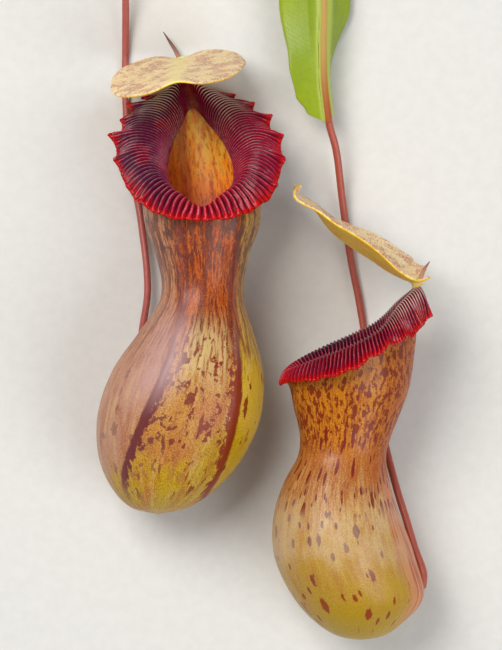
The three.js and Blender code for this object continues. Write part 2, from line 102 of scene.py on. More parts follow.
# body: rows of height, sideways shift, half width, middle depth behind the front lip and half depth.
# crest, inner, outer: points of the mouth as side, depth and height above the lip, from front to back.
# tooth: how far a tooth of the collar reaches. lean: how far the top of the mouth leans to the side.
# foot: where the foot lies. tilt: None lies front up; degrees lie on the flank with the mouth end raised.
# lid: its spine, half width and notch, and the lifts that fold, roll, twist and bend it.
# neck: the cord below the lid.
# thick, heel: a tendril's radius, and how much it swells at its pitcher. runner: its route under the leaf.
# bands: the two coloured ribs down the front, as rows of height and side, and how far they stand out.
# keel: how far the heel stands out, and how wide in radians.
LEFT = {
    "body": [
        (0, -16.2, 0, 28.8, 0), (2.5, -15.5, 10.4, 28.4, 9.7), (8.6, -13.9, 18.2, 27.9, 18),
        (19.4, -11.5, 25.6, 27, 24.2), (35.6, -8.3, 29.5, 24, 27), (51.8, -5.2, 27.2, 21.2, 24.5),
        (66.2, -2, 20.5, 20.2, 19.4), (77, -0.2, 15.3, 21.6, 16.7), (84.2, 0.2, 14.9, 22.7, 17.3),
        (95, 0, 17.3, 23.8, 20.5), (105.8, 0, 20.9, 24.1, 23),
    ],
    "lip": 110.9,
    "lean": -6.8,
    "crest": [(0, 0, 0), (7.9, 2.9, 4.3), (14.8, 10.1, 10.8), (18.4, 22.3, 22), (14.8, 34.6, 33.5),
              (8.2, 42.4, 41), (0, 47, 48.5)],
    "inner": [(0, 2.2, -1.2), (6.3, 5.4, 2.2), (11, 12.6, 7.2), (11.8, 25.6, 14.5), (9.4, 36.4, 23),
              (4.6, 42, 31), (0, 43.6, 37)],
    "outer": [(0, -3.4, -4.9), (12.6, -1.7, -3.7), (24.2, 7.9, 3.5), (29.6, 22.3, 18.2),
              (25.6, 36, 30.7), (16.4, 45, 38), (0, 50.2, 39)],
    "tooth": 3.6,
    "tilt": None,
    "foot": (-17.6, -68.4, 51.2),
    "lid": {
        "spine": [(-8.2, 48.8, 165.8), (-8.4, 40, 163.8), (-8.6, 24, 160), (-8.8, 6, 156.4),
                  (-9, -5.5, 153.8)],
        "half": 24.3, "notch": 0.08, "fold": -0.04, "roll": 0.125, "twist": 0.07, "bend": 0, "droop": 1.5,
        "saddle": 2.4, "belly": 0, "unfold": 0,
        "neck": [(-6.8, 46.9, 159.4), (-6.9, 46.6, 161.2), (-7.5, 44.9, 163), (-8.1, 43, 164.9)],
    },
    "spur": [(-8.7, 44.6, 164.6), (-8.9, 46.4, 166.4), (-10.4, 47.8, 169.4), (-11.8, 48.4, 171.6),
             (-14.4, 46.6, 175.5)],
    "tendril": [(-46, 129, 12), (-45.8, 117, 7), (-46, 99, 1.8), (-46, 84, 1.6), (-44.4, 62, 2.6),
                (-40.1, 37, 5), (-37.8, 13, 6.5), (-39.8, -2, 5.5), (-42, -19, 2.6), (-43, -36, 1.6),
                (-42.6, -49, 1.8), (-39.6, -58.5, 3), (-34.2, -60, 9)],
    "runner": [(-46.15, 146, 13.6), (-46, 137, 12.9)],
    "thick": 1.3,
    "heel": 0.9,
    "bands": {
        "left": [(0, -24), (11.5, -29.2), (24.5, -24.5), (37.4, -19.1), (47.9, -14.1), (64.1, -8.7),
                 (77.4, -6.5), (112, -8.5)],
        "right": [(0, -4), (6.1, -0.4), (10.4, 3.9), (19.4, 7.2), (26.6, 9.3), (35.3, 11.5), (45.7, 12.6),
                  (59, 12.6), (77.4, 10.4), (112, 13)],
    },
    "band_rise": 0.4,
    "keel": 0,
    "keel_width": 0.3,
}

RIGHT = {
    "body": [
        (0, 0, 0, 27, 0), (2.2, 0, 9.2, 26.9, 9.4), (7.9, 0, 16.7, 26.3, 16.9), (16.2, 0, 22.7, 25.6, 23.2),
        (30.6, 0, 26.3, 20.7, 24.8), (45, 0, 24.3, 18.4, 22.8), (57.6, 0, 18.6, 18.5, 19),
        (67, 0, 14, 20.3, 15.9), (74, 0, 13.5, 21.5, 16.4), (84, 0, 15.8, 22.4, 19.4),
        (93, 0, 18.7, 22.7, 22),
    ],
    "lip": 97.2,
    "lean": 0,
    "crest": [(0, 0, 0), (7.9, 3.2, 2.3), (15.1, 12.2, 6.7), (18, 23.8, 11.7), (15.8, 33.4, 17.1),
              (7.8, 40.8, 25.3), (0, 47.6, 31)],
    "inner": [(0, 2.2, -1.2), (6.4, 5.2, 0.5), (11.6, 13, 3), (12.4, 24.4, 6), (9.6, 35, 11),
              (4.4, 41.6, 17), (0, 44, 23)],
    "outer": [(0, -2.4, -4.3), (12.6, 0.6, -1.9), (23.6, 10.2, -0.1), (28.4, 23, 4), (24.6, 35.6, 11.4),
              (13.6, 45.6, 15.2), (0, 50.8, 20.2)],
    "tooth": 1.8,
    "tilt": 5,
    "foot": (12.5, -113.8, 23.3),
    "lid": {
        "spine": [(0, 54.2, 132.2), (0, 46.6, 129.7), (0, 38.2, 132.5), (0, 30.2, 137.7), (0, 23, 142.3),
                  (0, 15.9, 148), (0, 10.1, 155.5), (0, 3.9, 161.6), (0, 5, 164.7)],
        "half": 22.9, "notch": 0.1, "fold": 0.314, "roll": -0.163, "twist": 0.186, "bend": -0.121, "droop": 0,
        "saddle": 0, "belly": 0.353, "unfold": 0.495,
        "neck": [(0, 47.4, 128.2), (0, 47.1, 129), (0, 46.7, 129.8), (0, 46, 131)],
    },
    "spur": [(0, 47.8, 130), (0, 48.6, 131.9), (0, 49.6, 134.2), (-0.6, 51.6, 137)],
    "tendril": [(28.6, 72.6, 13), (31, 64, 10), (33.5, 45, 4.4), (36.7, 23.4, 2.2), (39.6, 9, 1.6),
                (42.4, -8, 1.7), (45.6, -27, 4), (49, -43.9, 9.5), (52.9, -59.4, 16), (55.6, -68.4, 19),
                (59.4, -81, 22), (62.2, -90, 23.8), (61.4, -96.4, 24.6)],
    "runner": [(26.35, 100, 15.2), (26.6, 88, 14.3), (27.4, 80, 13.8)],
    "thick": 1.35,
    "heel": 0.25,
    "bands": {
        "left": [(0, 0), (7.9, -9), (16.2, -12.5), (30.6, -14.5), (45, -13), (57.6, -10), (74, -7),
                 (93, -9.5)],
        "right": [(0, 0), (7.9, 9), (16.2, 12.5), (30.6, 14.5), (45, 13), (57.6, 10), (74, 7), (93, 9.5)],
    },
    "band_rise": 0.3,
    "keel": 1.1,
    "keel_width": 0.42,
}

# Half widths in mm and folds in radians go by the distance to a leaf's tip.
RIGHT_LEAF = {
    "midrib": [(14.6, 243.3, 6), (16, 225, 10), (20, 190, 15), (24.6, 150, 17), (26.6, 117, 16.5),
               (26.3, 103, 15.5), (26.6, 88, 14.4), (28.3, 73.6, 13.4)],
    "half": [(0, 1.4), (4, 7.6), (10, 10.8), (22, 12.8), (44, 16.8), (80, 19.6), (120, 16), (152, 7),
             (175, 3.4)],
    "left_fold": [(0, 0.1), (60, 0.3), (175, 0.5)],
    "right_fold": [(0, 1.3), (18, 1.42), (44, 0.98), (80, 0.4), (175, 0.5)],
}
LEFT_LEAF = {
    "midrib": [(-51.2, 271.3, 6), (-50.4, 254, 10), (-48.2, 220, 15), (-46.8, 180, 16), (-46.2, 150, 14),
               (-46, 130.2, 12.2)],
    "half": [(d * 0.81, w * 0.95) for d, w in RIGHT_LEAF["half"]],
    "left_fold": [(0, 0.6), (60, 0.35), (150, 0.5)],
    "right_fold": [(0, 0.5), (60, 0.25), (150, 0.5)],
}
STEM_RADIUS = 3.9
STEM_PATH = [(-86, 292, 3.7), (-52, 277.4, 3.7), (-18, 262.6, 3.9), (15, 249, 3.7), (52, 233, 3.7)]
# The stem's nodes, as shares of its length.
STEM_NODES = (0.245, 0.735)
# The rings that close a cut end: how far out each lies in mm, its share of the width, and the pith it shows.
CUT_STEPS = (0.02, 0.05, 0.08, 0.11)
CUT_WIDTHS = (0.94, 0.6, 0.28, 0.01)
CUT_PITH = (0.25, 0.4, 0.8, 1)

# ---------------------------------------------------------------- the view, m

VIEW_CENTRE = (ORIGIN[:2] / 1000).tolist()
FOCUS_HEIGHT = 0.03
TABLE_HALF = 4.0
SENSOR_WIDTH = 36

# ---------------------------------------------------------------- curves

# A small share of a surface, over which its slope is measured.
SMALL_STEP = 1e-3


def hermite(x0, x1, m0, m1, w):
    """The cubic from x0 to x1 that leaves with the slope m0 and arrives with the slope m1, at the share w."""
    return x0 + m0 * w + (3 * (x1 - x0) - 2 * m0 - m1) * w**2 + (2 * (x0 - x1) + m0 + m1) * w**3


def spline(points, t, closed=False, even=False):
    """Points of a Catmull-Rom curve at the shares t. An even curve ignores how far apart its points are."""
    p = np.asarray(points, float)
    t = np.atleast_1d(np.asarray(t, float))
    count = len(p)
    s = (t % 1.0) * count if closed else np.clip(t, 0, 1) * (count - 1)
    i = np.floor(s).astype(int)
    if not closed:
        i = np.minimum(i, count - 2)
    w = (s - i)[:, None]
    if closed:
        p0, p1, p2, p3 = (p[(i + k) % count] for k in (-1, 0, 1, 2))
    else:
        q = np.vstack([2 * p[0] - p[1], p, 2 * p[-1] - p[-2]])
        p0, p1, p2, p3 = (q[i + k] for k in (0, 1, 2, 3))
    if even:
        return hermite(p1, p2, 0.5 * (p2 - p0), 0.5 * (p3 - p1), w)
    d = [np.sqrt(np.linalg.norm(b - a, axis=1))[:, None] for a, b in ((p0, p1), (p1, p2), (p2, p3))]
    d[1] = np.where(d[1] < 1e-4, 1, d[1])
    d[0] = np.where(d[0] < 1e-4, d[1], d[0])
    d[2] = np.where(d[2] < 1e-4, d[1], d[2])
    m0 = ((p1 - p0) / d[0] - (p2 - p0) / (d[0] + d[1]) + (p2 - p1) / d[1]) * d[1]
    m1 = ((p2 - p1) / d[1] - (p3 - p1) / (d[1] + d[2]) + (p3 - p2) / d[2]) * d[1]
    return hermite(p1, p2, m0, m1, w)


def run_lengths(points):
    """How far along a line each of its points lies."""
    return np.concatenate([[0], np.cumsum(np.linalg.norm(np.diff(points, axis=0), axis=1))])


def by_length(curve, shares, closed=False):
    """The curve's own shares t at which these shares of its length lie."""
    steps = np.linspace(0, 1, 201)
    lengths = run_lengths(curve(np.where(steps == 1, 0.0, steps)) if closed else curve(steps))
    return np.interp(np.asarray(shares, float) * lengths[-1], lengths, steps)


def table(rows, x):
    """The value at x of (x, value) rows, eased between them."""
    xs, vs = np.array(rows, float).T
    x = np.clip(x, xs[0], xs[-1])
    i = np.clip(np.searchsorted(xs, x) - 1, 0, len(xs) - 2)
    w = (x - xs[i]) / (xs[i + 1] - xs[i])
    return vs[i] + (vs[i + 1] - vs[i]) * w * w * (3 - 2 * w)


def unit(v):
    """Vectors made 1 long."""
    return v / np.maximum(np.linalg.norm(v, axis=-1, keepdims=True), 1e-12)


def laid(plant, points):
    """Points of a pitcher's own frame (side, depth, height), in mm where it lies."""
    side, depth, height = np.moveaxis(np.asarray(points, float), -1, 0)
    x, y, z = plant["foot"]
    if plant["tilt"] is None:
        return np.stack([x + side, y + height, z - depth], -1)
    c, s = math.cos(math.radians(plant["tilt"])), math.sin(math.radians(plant["tilt"]))
    return np.stack([x + depth, y + height * c - side * s, z + height * s + side * c], -1)


# ---------------------------------------------------------------- meshes


def linked(name, data):
    """A new object in the scene for a mesh, a lamp or a camera."""
    obj = bpy.data.objects.new(name, data)
    bpy.context.scene.collection.objects.link(obj)
    return obj


def store(mesh, attributes):
    """Gives a mesh its point attributes, each with one number, or three, for each point."""
    for key, values in attributes.items():
        values = np.asarray(values, np.float32)
        kind, slot = ("FLOAT", "value") if values.ndim == 1 else ("FLOAT_VECTOR", "vector")
        mesh.attributes.new(key, kind, "POINT").data.foreach_set(slot, values.ravel())


def mesh_object(name, points, faces, **attributes):
    """A smooth mesh object from points in mm, none of them below z = 0."""
    mesh = bpy.data.meshes.new(name)
    points = (np.asarray(points, float) + ORIGIN) / 1000
    points[:, 2] = np.maximum(points[:, 2], 0)
    mesh.from_pydata(points.tolist(), [], faces)
    store(mesh, attributes)
    mesh.polygons.foreach_set("use_smooth", [True] * len(mesh.polygons))
    mesh.update()
    return linked(name, mesh)


def band(first, second):
    """Faces between two closed rings of point numbers."""
    n = len(first)
    return [(first[k], first[(k + 1) % n], second[(k + 1) % n], second[k]) for k in range(n)]


def rings_to_faces(rings):
    """Faces between each closed ring of point numbers and the next."""
    return [face for a, b in zip(rings, rings[1:]) for face in band(a, b)]


def face_out(obj):
    """Turns every face of a closed mesh outwards."""
    mesh = obj.data
    co = np.empty(len(mesh.vertices) * 3)
    mesh.vertices.foreach_get("co", co)
    co = co.reshape(-1, 3)
    mesh.calc_loop_triangles()
    tris = np.empty(len(mesh.loop_triangles) * 3, int)
    mesh.loop_triangles.foreach_get("vertices", tris)
    a, b, c = (co[tris.reshape(-1, 3)[:, k]] for k in range(3))
    if np.einsum("ij,ij->i", a, np.cross(b, c)).sum() < 0:
        mesh.flip_normals()
    return obj


def joined(name, parts):
    """One mesh object from several."""
    for part in parts:
        part.select_set(True)
    bpy.context.view_layer.objects.active = parts[0]
    with bpy.context.temp_override(active_object=parts[0], selected_editable_objects=parts):
        bpy.ops.object.join()
    parts[0].name = name
    return parts[0]


def finished(obj, material, slot, *nodes):
    """Gives a piece its material and ties it to the CAD model."""
    obj.data.materials.clear()
    obj.data.materials.append(material)
    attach(obj, "root")
    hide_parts(*nodes)
    return obj


# ---------------------------------------------------------------- node trees


class Graph:
    """Adds nodes to a tree and joins them by socket name, or by number as i0, i1 and so on."""

    def __init__(self, tree):
        self.tree = tree

    def node(self, kind, settings=None, **inputs):
        """A new node with its own settings, and its inputs linked or set."""
        node = self.tree.nodes.new(kind)
        for key, value in (settings or {}).items():
            setattr(node, key, value)
        for key, value in inputs.items():
            self.put(node, key, value)
        return node

    def put(self, node, key, value):
        """Links an input to a socket, or sets it to a constant."""
        numbered = key[0] == "i" and key[1:].isdigit()
        socket = node.inputs[int(key[1:]) if numbered else key.replace("_", " ")]
        if isinstance(value, bpy.types.NodeSocket):
            self.tree.links.new(value, socket)
        else:
            socket.default_value = value

    def math(self, operation, a, b=0.0, c=0.0):
        return self.node("ShaderNodeMath", {"operation": operation}, i0=a, i1=b, i2=c).outputs[0]

    def absolute(self, value):
        return self.math("ABSOLUTE", value)

    def times(self, *factors):
        """The product of values and numbers."""
        product = factors[0]
        for factor in factors[1:]:
            product = self.math("MULTIPLY", product, factor)
        return product

    def swayed(self, value, noise, reach):
        """A value moved up and down by a noise that lies between 0 and 1."""
        return self.math("MULTIPLY_ADD", self.math("SUBTRACT", noise, 0.5), reach, value)

    def ramp(self, factor, low, high, to_low=0.0, to_high=1.0, kind="SMOOTHSTEP"):
        """A value that eases from to_low, where the factor is low, to to_high, where it is high."""
        node = self.node("ShaderNodeMapRange", {"interpolation_type": kind})
        for key, value in zip(("Value", "From Min", "From Max", "To Min", "To Max"),
                              (factor, low, high, to_low, to_high)):
            self.put(node, key, value)
        return node.outputs["Result"]


def geometry_tree(name, inputs):
    """A Geometry Nodes tree with named inputs: its graph, its input node, and a function that closes it."""
    tree = bpy.data.node_groups.new(name, "GeometryNodeTree")
    tree.interface.new_socket("Geometry", in_out="INPUT", socket_type="NodeSocketGeometry")
    for key, (kind, value) in inputs.items():
        tree.interface.new_socket(key, in_out="INPUT", socket_type=kind).default_value = value
    tree.interface.new_socket("Geometry", in_out="OUTPUT", socket_type="NodeSocketGeometry")
    g = Graph(tree)
    entry = g.node("NodeGroupInput")

    def close(geometry, material):
        real = g.node("GeometryNodeRealizeInstances", Geometry=geometry)
        dressed = g.node("GeometryNodeSetMaterial", Geometry=real.outputs[0], Material=material)
        tree.links.new(dressed.outputs[0], g.node("NodeGroupOutput").inputs[0])
        return tree

    return g, entry, close


def apply_nodes(obj, tree, values):
    """Runs a Geometry Nodes tree on an object and leaves a plain mesh object in its place."""
    modifier = obj.modifiers.new("shape", "NODES")
    modifier.node_group = tree
    inputs = {i.name: i.identifier for i in tree.interface.items_tree if i.in_out == "INPUT"}
    for key, value in values.items():
        modifier[inputs[key]] = value
    graph = bpy.context.evaluated_depsgraph_get()
    mesh = bpy.data.meshes.new_from_object(obj.evaluated_get(graph), depsgraph=graph)
    name = obj.name
    bpy.data.objects.remove(obj)
    return linked(name, mesh)


def read_attribute(g, name, kind="FLOAT"):
    """The value of a named attribute in a Geometry Nodes tree."""
    return g.node("GeometryNodeInputNamedAttribute", {"data_type": kind}, Name=name).outputs[0]


def scaled(g, vector, amount):
    """A vector made longer or shorter by an amount."""
    return g.node("ShaderNodeVectorMath", {"operation": "SCALE"}, i0=vector, Scale=amount).outputs[0]


def above_ground(g, geometry):
    """Lifts the points of a geometry that are below z = 0 up to it."""
    apart = g.node("ShaderNodeSeparateXYZ", Vector=g.node("GeometryNodeInputPosition").outputs[0])
    kept = g.node("ShaderNodeCombineXYZ", X=apart.outputs[0], Y=apart.outputs[1],
                  Z=g.math("MAXIMUM", apart.outputs[2], 0.0)).outputs[0]
    return g.node("GeometryNodeSetPosition", Geometry=geometry, Position=kept).outputs[0]


# ---------------------------------------------------------------- the pitcher's surfaces


def mouth_curve(plant, half):
    """The closed curve of a mouth from its half curve, with the lean of the mouth added."""
    top = plant["crest"][-1][2]

    def leaning(side, depth, rise):
        return side + plant["lean"] * (rise / top) ** 2, depth, plant["lip"] + rise

    right = [leaning(*p) for p in half]
    left = [leaning(-side, depth, rise) for side, depth, rise in reversed(half[1:-1])]
    return lambda t: spline(right + left, t, closed=True, even=True)


def mouth_frame(plant, t):
    """The crest at the shares t, the steps to the inner and outer edge, and the ways out and up."""
    middle, inner, outer = (mouth_curve(plant, plant[key])(t) for key in ("crest", "inner", "outer"))
    inner, outer = inner - middle, outer - middle
    up = -unit(inner + outer)
    out = outer - inner
    out = unit(out - up * np.sum(out * up, axis=1, keepdims=True))
    return middle, inner, outer, out, up


def cup_skin(plant, turns, rows, inset):
    """One skin of a cup: its foot, and a grid of rows up the wall by turns round it."""
    height, shift, wide, depth, deep = np.array(plant["body"], float).T
    middle, _, _, out, up = mouth_frame(plant, turns)
    drop = RIM_DROP + RIM_DROP_BACK * np.sin(np.pi * turns)[:, None] ** 8
    rims = middle - up * drop + out * (RIM_OUT - inset)
    wide, deep = np.maximum(wide - inset, 0), np.maximum(deep - inset, 0)
    # The inner skin's floor lies a wall's thickness above the foot.
    height = height + inset * np.maximum(0, 1 - height / 20)
    grid = np.empty((rows, len(turns), 3))
    for k, angle in enumerate(2 * np.pi * turns):
        line = np.stack([shift + wide * math.sin(angle), depth - deep * math.cos(angle), height], 1)
        grid[:, k] = spline(np.vstack([line, rims[k]]), np.arange(1, rows + 1) / rows)
    return np.array([shift[0], depth[0], height[0]]), grid


def grid_normals(grid, turned=1):
    """The unit normals of a grid whose columns close on themselves."""
    around = np.roll(grid, -1, axis=1) - np.roll(grid, 1, axis=1)
    return unit(np.cross(around, np.gradient(grid, axis=0))) * turned


def band_sides(plant, height):
    """Where the two coloured ribs down the front of a cup run: their sides at each height."""
    near = height[..., None] + np.linspace(-7, 7, 9)
    rows = (np.array(plant["bands"][side]).T for side in ("left", "right"))
    return [np.interp(near, *row).mean(-1) for row in rows]


def cup_relief(plant, angle, height, off):
    """How far a cup's wall stands out: on its two coloured ribs, and on the keel at its heel."""
    ribs = np.exp(-((off / 1.5) ** 2)) * np.clip((height - 6) / 12, 0, 1)
    heel = np.exp(-(((angle - math.pi) / plant["keel_width"]) ** 2) - ((height - 24) / 17) ** 4)
    return plant["band_rise"] * ribs + plant["keel"] * heel


def cup_object(name, plant, columns, rows):
    """The hollow cup: an outer and an inner skin that meet at the rim."""
    turns = np.arange(columns) / columns
    angle = np.broadcast_to(2 * np.pi * turns, (rows, columns))
    foot, outside = cup_skin(plant, turns, rows, 0)
    floor, inside = cup_skin(plant, turns, rows, CUP_WALL)
    left, right = band_sides(plant, outside[..., 2])
    zone = 2 * (outside[..., 0] - (left + right) / 2) / (right - left)
    off = np.minimum(abs(outside[..., 0] - left), abs(outside[..., 0] - right))
    off = np.where(np.cos(angle) > 0.05, off, NO_RIB_NEAR)
    outside = outside + grid_normals(outside) * cup_relief(plant, angle, outside[..., 2], off)[..., None]

    # Points: the foot, the floor inside it, the outer skin and the inner skin.
    points, flow = [[foot, floor]], [np.zeros((2, 3))]
    for skin in (outside, inside):
        points.append(skin.reshape(-1, 3))
        around = np.stack([WALL_RADIUS * np.sin(angle), WALL_RADIUS * np.cos(angle), skin[..., 2]], -1)
        flow.append(around.reshape(-1, 3))
    zones = np.concatenate([[0, 0], zone.ravel(), zone.ravel()])
    ridges = np.concatenate([[NO_RIB_NEAR] * 2, off.ravel(), np.full(off.size, NO_RIB_NEAR)])
    inner = np.concatenate([[0, 1], np.zeros(off.size), np.ones(off.size)])
    outer_rows, inner_rows = (2 + np.arange(2 * rows * columns).reshape(2, rows, columns)).tolist()
    faces = rings_to_faces([*outer_rows, *inner_rows[::-1]])
    for centre, ring in ((0, outer_rows[0][::-1]), (1, inner_rows[0])):
        faces += [(centre, ring[k - 1], ring[k]) for k in range(columns)]
    obj = mesh_object(name, laid(plant, np.concatenate(points)), faces, flow=np.concatenate(flow), zone=zones,
                      ridge=ridges, inside=inner)
    return face_out(obj)


def collar_grid(plant, around, shares):
    """The smooth upper face of a collar: share -1 is the inner edge, 0 the crest and 1 the outer edge."""
    t = by_length(mouth_curve(plant, plant["crest"]), around, closed=True)
    middle, inner, outer, _, up = mouth_frame(plant, t)
    # Pointed teeth of uneven length, hardly any at the front lip.
    wave = np.cos(2 * np.pi * (COLLAR_TEETH * np.minimum(t, 1 - t) + 0.25))
    point = 0.65 * (0.5 + 0.5 * wave) ** 1.5 + 0.5 * (0.5 + 0.5 * wave) ** 7
    uneven = 1.1 + 0.3 * np.sin(2 * np.pi * 7 * t + 1) + 0.2 * np.sin(2 * np.pi * 13 * t)
    tooth = plant["tooth"] * uneven * (0.1 + 0.9 * np.sin(np.pi * t) ** 2)
    grid = np.empty((len(shares), len(around), 3))
    for j, share in enumerate(shares):
        reach = inner if share < 0 else outer
        drop = np.sum(reach * up, axis=1, keepdims=True)
        level = reach - up * drop
        full = (INNER_BEND if share < 0 else OUTER_BEND) * math.pi
        bend = abs(share) * full
        grid[j] = middle + level * math.sin(bend) / math.sin(full)
        grid[j] += up * drop * (1 - math.cos(bend)) / (1 - math.cos(full))
        if share > 0:
            way = unit(level) * point[:, None] + up * TOOTH_LIFT * wave[:, None]
            grid[j] += way * (tooth * share**3)[:, None]
    return grid


def collar_base(name, plant, columns):
    """The collar without its ribs, with the way each point rises when a rib lifts it."""
    around = np.arange(columns) / columns
    shares = np.concatenate([np.linspace(-1, 0, 25), np.linspace(0, 1, 31)[1:]])
    top = collar_grid(plant, around, shares)
    rise = grid_normals(top, -1)
    below = np.linspace(0, len(shares) - 1, UNDER_ROWS).round().astype(int)[::-1]
    half = COLLAR_THICKNESS / 2
    inner_edge = top[0] - rise[0] * half + unit(top[0] - top[1]) * EDGE_ROUNDING
    outer_edge = top[-1] - rise[-1] * half + unit(top[-1] - top[-2]) * EDGE_ROUNDING
    grid = np.concatenate([inner_edge[None], top, outer_edge[None], (top - rise * COLLAR_THICKNESS)[below]])
    share = np.concatenate([[-1], shares, [1], shares[below]])
    ribbed = np.concatenate([[0.3], np.clip((1.02 - abs(shares)) * 9, 0.35, 1), [0.3], np.zeros(UNDER_ROWS)])
    under = np.concatenate([np.zeros(len(shares) + 2), np.ones(UNDER_ROWS)])
    lift = np.concatenate([rise[:1], rise, rise[-1:], rise[below]])
    number = np.arange(len(grid) * columns).reshape(-1, columns).tolist()
    # The ribs stand a little closer together towards the back.
    closer = around - 0.03 * np.sin(2 * np.pi * around)
    obj = mesh_object(
        name,
        laid(plant, grid.reshape(-1, 3)),
        rings_to_faces([*number, number[0]]),
        around=np.tile(closer, len(grid)),
        back=np.tile(2 * np.minimum(closer, 1 - closer), len(grid)),
        share=np.repeat(share, columns),
        ribbed=np.repeat(ribbed, columns),
        under=np.repeat(under, columns),
        lift=laid(plant, lift.reshape(-1, 3)) - laid(plant, np.zeros(3)),
    )
    return face_out(obj)


def rib_tree():
    """Ribs that cross a collar from edge to edge. Deep in the throat, those near the back split in two."""
    g, entry, close = geometry_tree(
        "Collar ribs",
        {
            "Ribs": ("NodeSocketFloat", 84.0),
            "Height": ("NodeSocketFloat", 0.0003),
            "Wander": ("NodeSocketFloat", 0.5),
            "Seed": ("NodeSocketFloat", 3.0),
            "Material": ("NodeSocketMaterial", None),
        },
    )
    place = g.node("GeometryNodeInputPosition").outputs[0]
    sway = g.node("ShaderNodeTexNoise", {"noise_dimensions": "4D"}, Vector=place, Scale=130.0, Detail=1.0,
                  W=entry.outputs["Seed"]).outputs[0]
    phase = g.math("MULTIPLY_ADD", read_attribute(g, "around"), entry.outputs["Ribs"],
                   g.times(g.math("SUBTRACT", sway, 0.5), entry.outputs["Wander"]))
    turn = g.times(phase, 2 * math.pi)
    coarse = g.math("MULTIPLY_ADD", g.math("COSINE", turn), -0.5, 0.5)
    fine = g.math("MULTIPLY_ADD", g.math("COSINE", g.times(turn, 2.0)), -0.5, 0.5)
    deep = g.ramp(read_attribute(g, "share"), -0.3, -0.6)
    split = g.times(deep, g.ramp(read_attribute(g, "back"), 0.8, 0.95))
    peaked = g.math("POWER", coarse, 1.15)
    rib = g.math("MULTIPLY_ADD", g.math("SUBTRACT", fine, peaked), split, peaked)
    size = g.times(entry.outputs["Height"], g.ramp(split, 0.0, 1.0, 1.0, 0.75, "LINEAR"))
    amount = g.times(g.math("MULTIPLY_ADD", rib, 2.0, -1.1), size, read_attribute(g, "ribbed"))
    offset = scaled(g, read_attribute(g, "lift", "FLOAT_VECTOR"), amount)
    moved = g.node("GeometryNodeSetPosition", Geometry=entry.outputs["Geometry"], Offset=offset).outputs[0]
    marked = g.node("GeometryNodeStoreNamedAttribute", {"data_type": "FLOAT", "domain": "POINT"},
                    Geometry=moved, Name="rib", Value=rib).outputs[0]
    return close(above_ground(g, marked), entry.outputs["Material"])


# ---------------------------------------------------------------- blades


def squares(grid):
    """Faces between the neighbours in a grid of point numbers."""
    return np.stack([grid[:-1, :-1], grid[:-1, 1:], grid[1:, 1:], grid[1:, :-1]], -1).reshape(-1, 4).tolist()


def outline(grid):
    """The point numbers round the edge of a grid."""
    return np.concatenate([grid[0], grid[1:, -1], grid[-1, -2::-1], grid[-2:0:-1, 0]]).tolist()


def blade_object(name, place, columns, rows, thickness, border, attributes, whole=None):
    """A thin blade with rounded margins. place(u, v) is its upper face, border(u, v) the mm to its margin."""
    u, v = np.meshgrid(np.linspace(0, 1, columns + 1), np.linspace(0, 1, rows + 1))
    across = place(u + SMALL_STEP, v) - place(u - SMALL_STEP, v)
    along = place(u, v + SMALL_STEP) - place(u, v - SMALL_STEP)
    normal = unit(np.cross(across, along))
    middle = place(u, v) - normal * thickness / 2
    # The blade thins close to its margin, so that the margin is round.
    near = np.clip(border(u, v) / (thickness * 0.8), 0, 1)
    half = thickness / 2 * (0.3 + 0.7 * np.sqrt(1 - (1 - near) ** 2))[..., None]
    points = np.stack([middle + normal * half, middle - normal * half]).reshape(-1, 3)
    above, below = np.arange(2 * (rows + 1) * (columns + 1)).reshape(2, rows + 1, columns + 1)
    faces = squares(above) + [face[::-1] for face in squares(below)] + band(outline(below), outline(above))

    values = {}
    for key, field in attributes.items():
        flat = field(u, v)
        flat = flat.reshape(-1, flat.shape[-1]) if flat.ndim == 3 else flat.ravel()
        values[key] = np.concatenate([flat, flat])
    values["under"] = np.repeat([1, 0], (rows + 1) * (columns + 1))
    return face_out(mesh_object(name, whole(points) if whole else points, faces, **values))


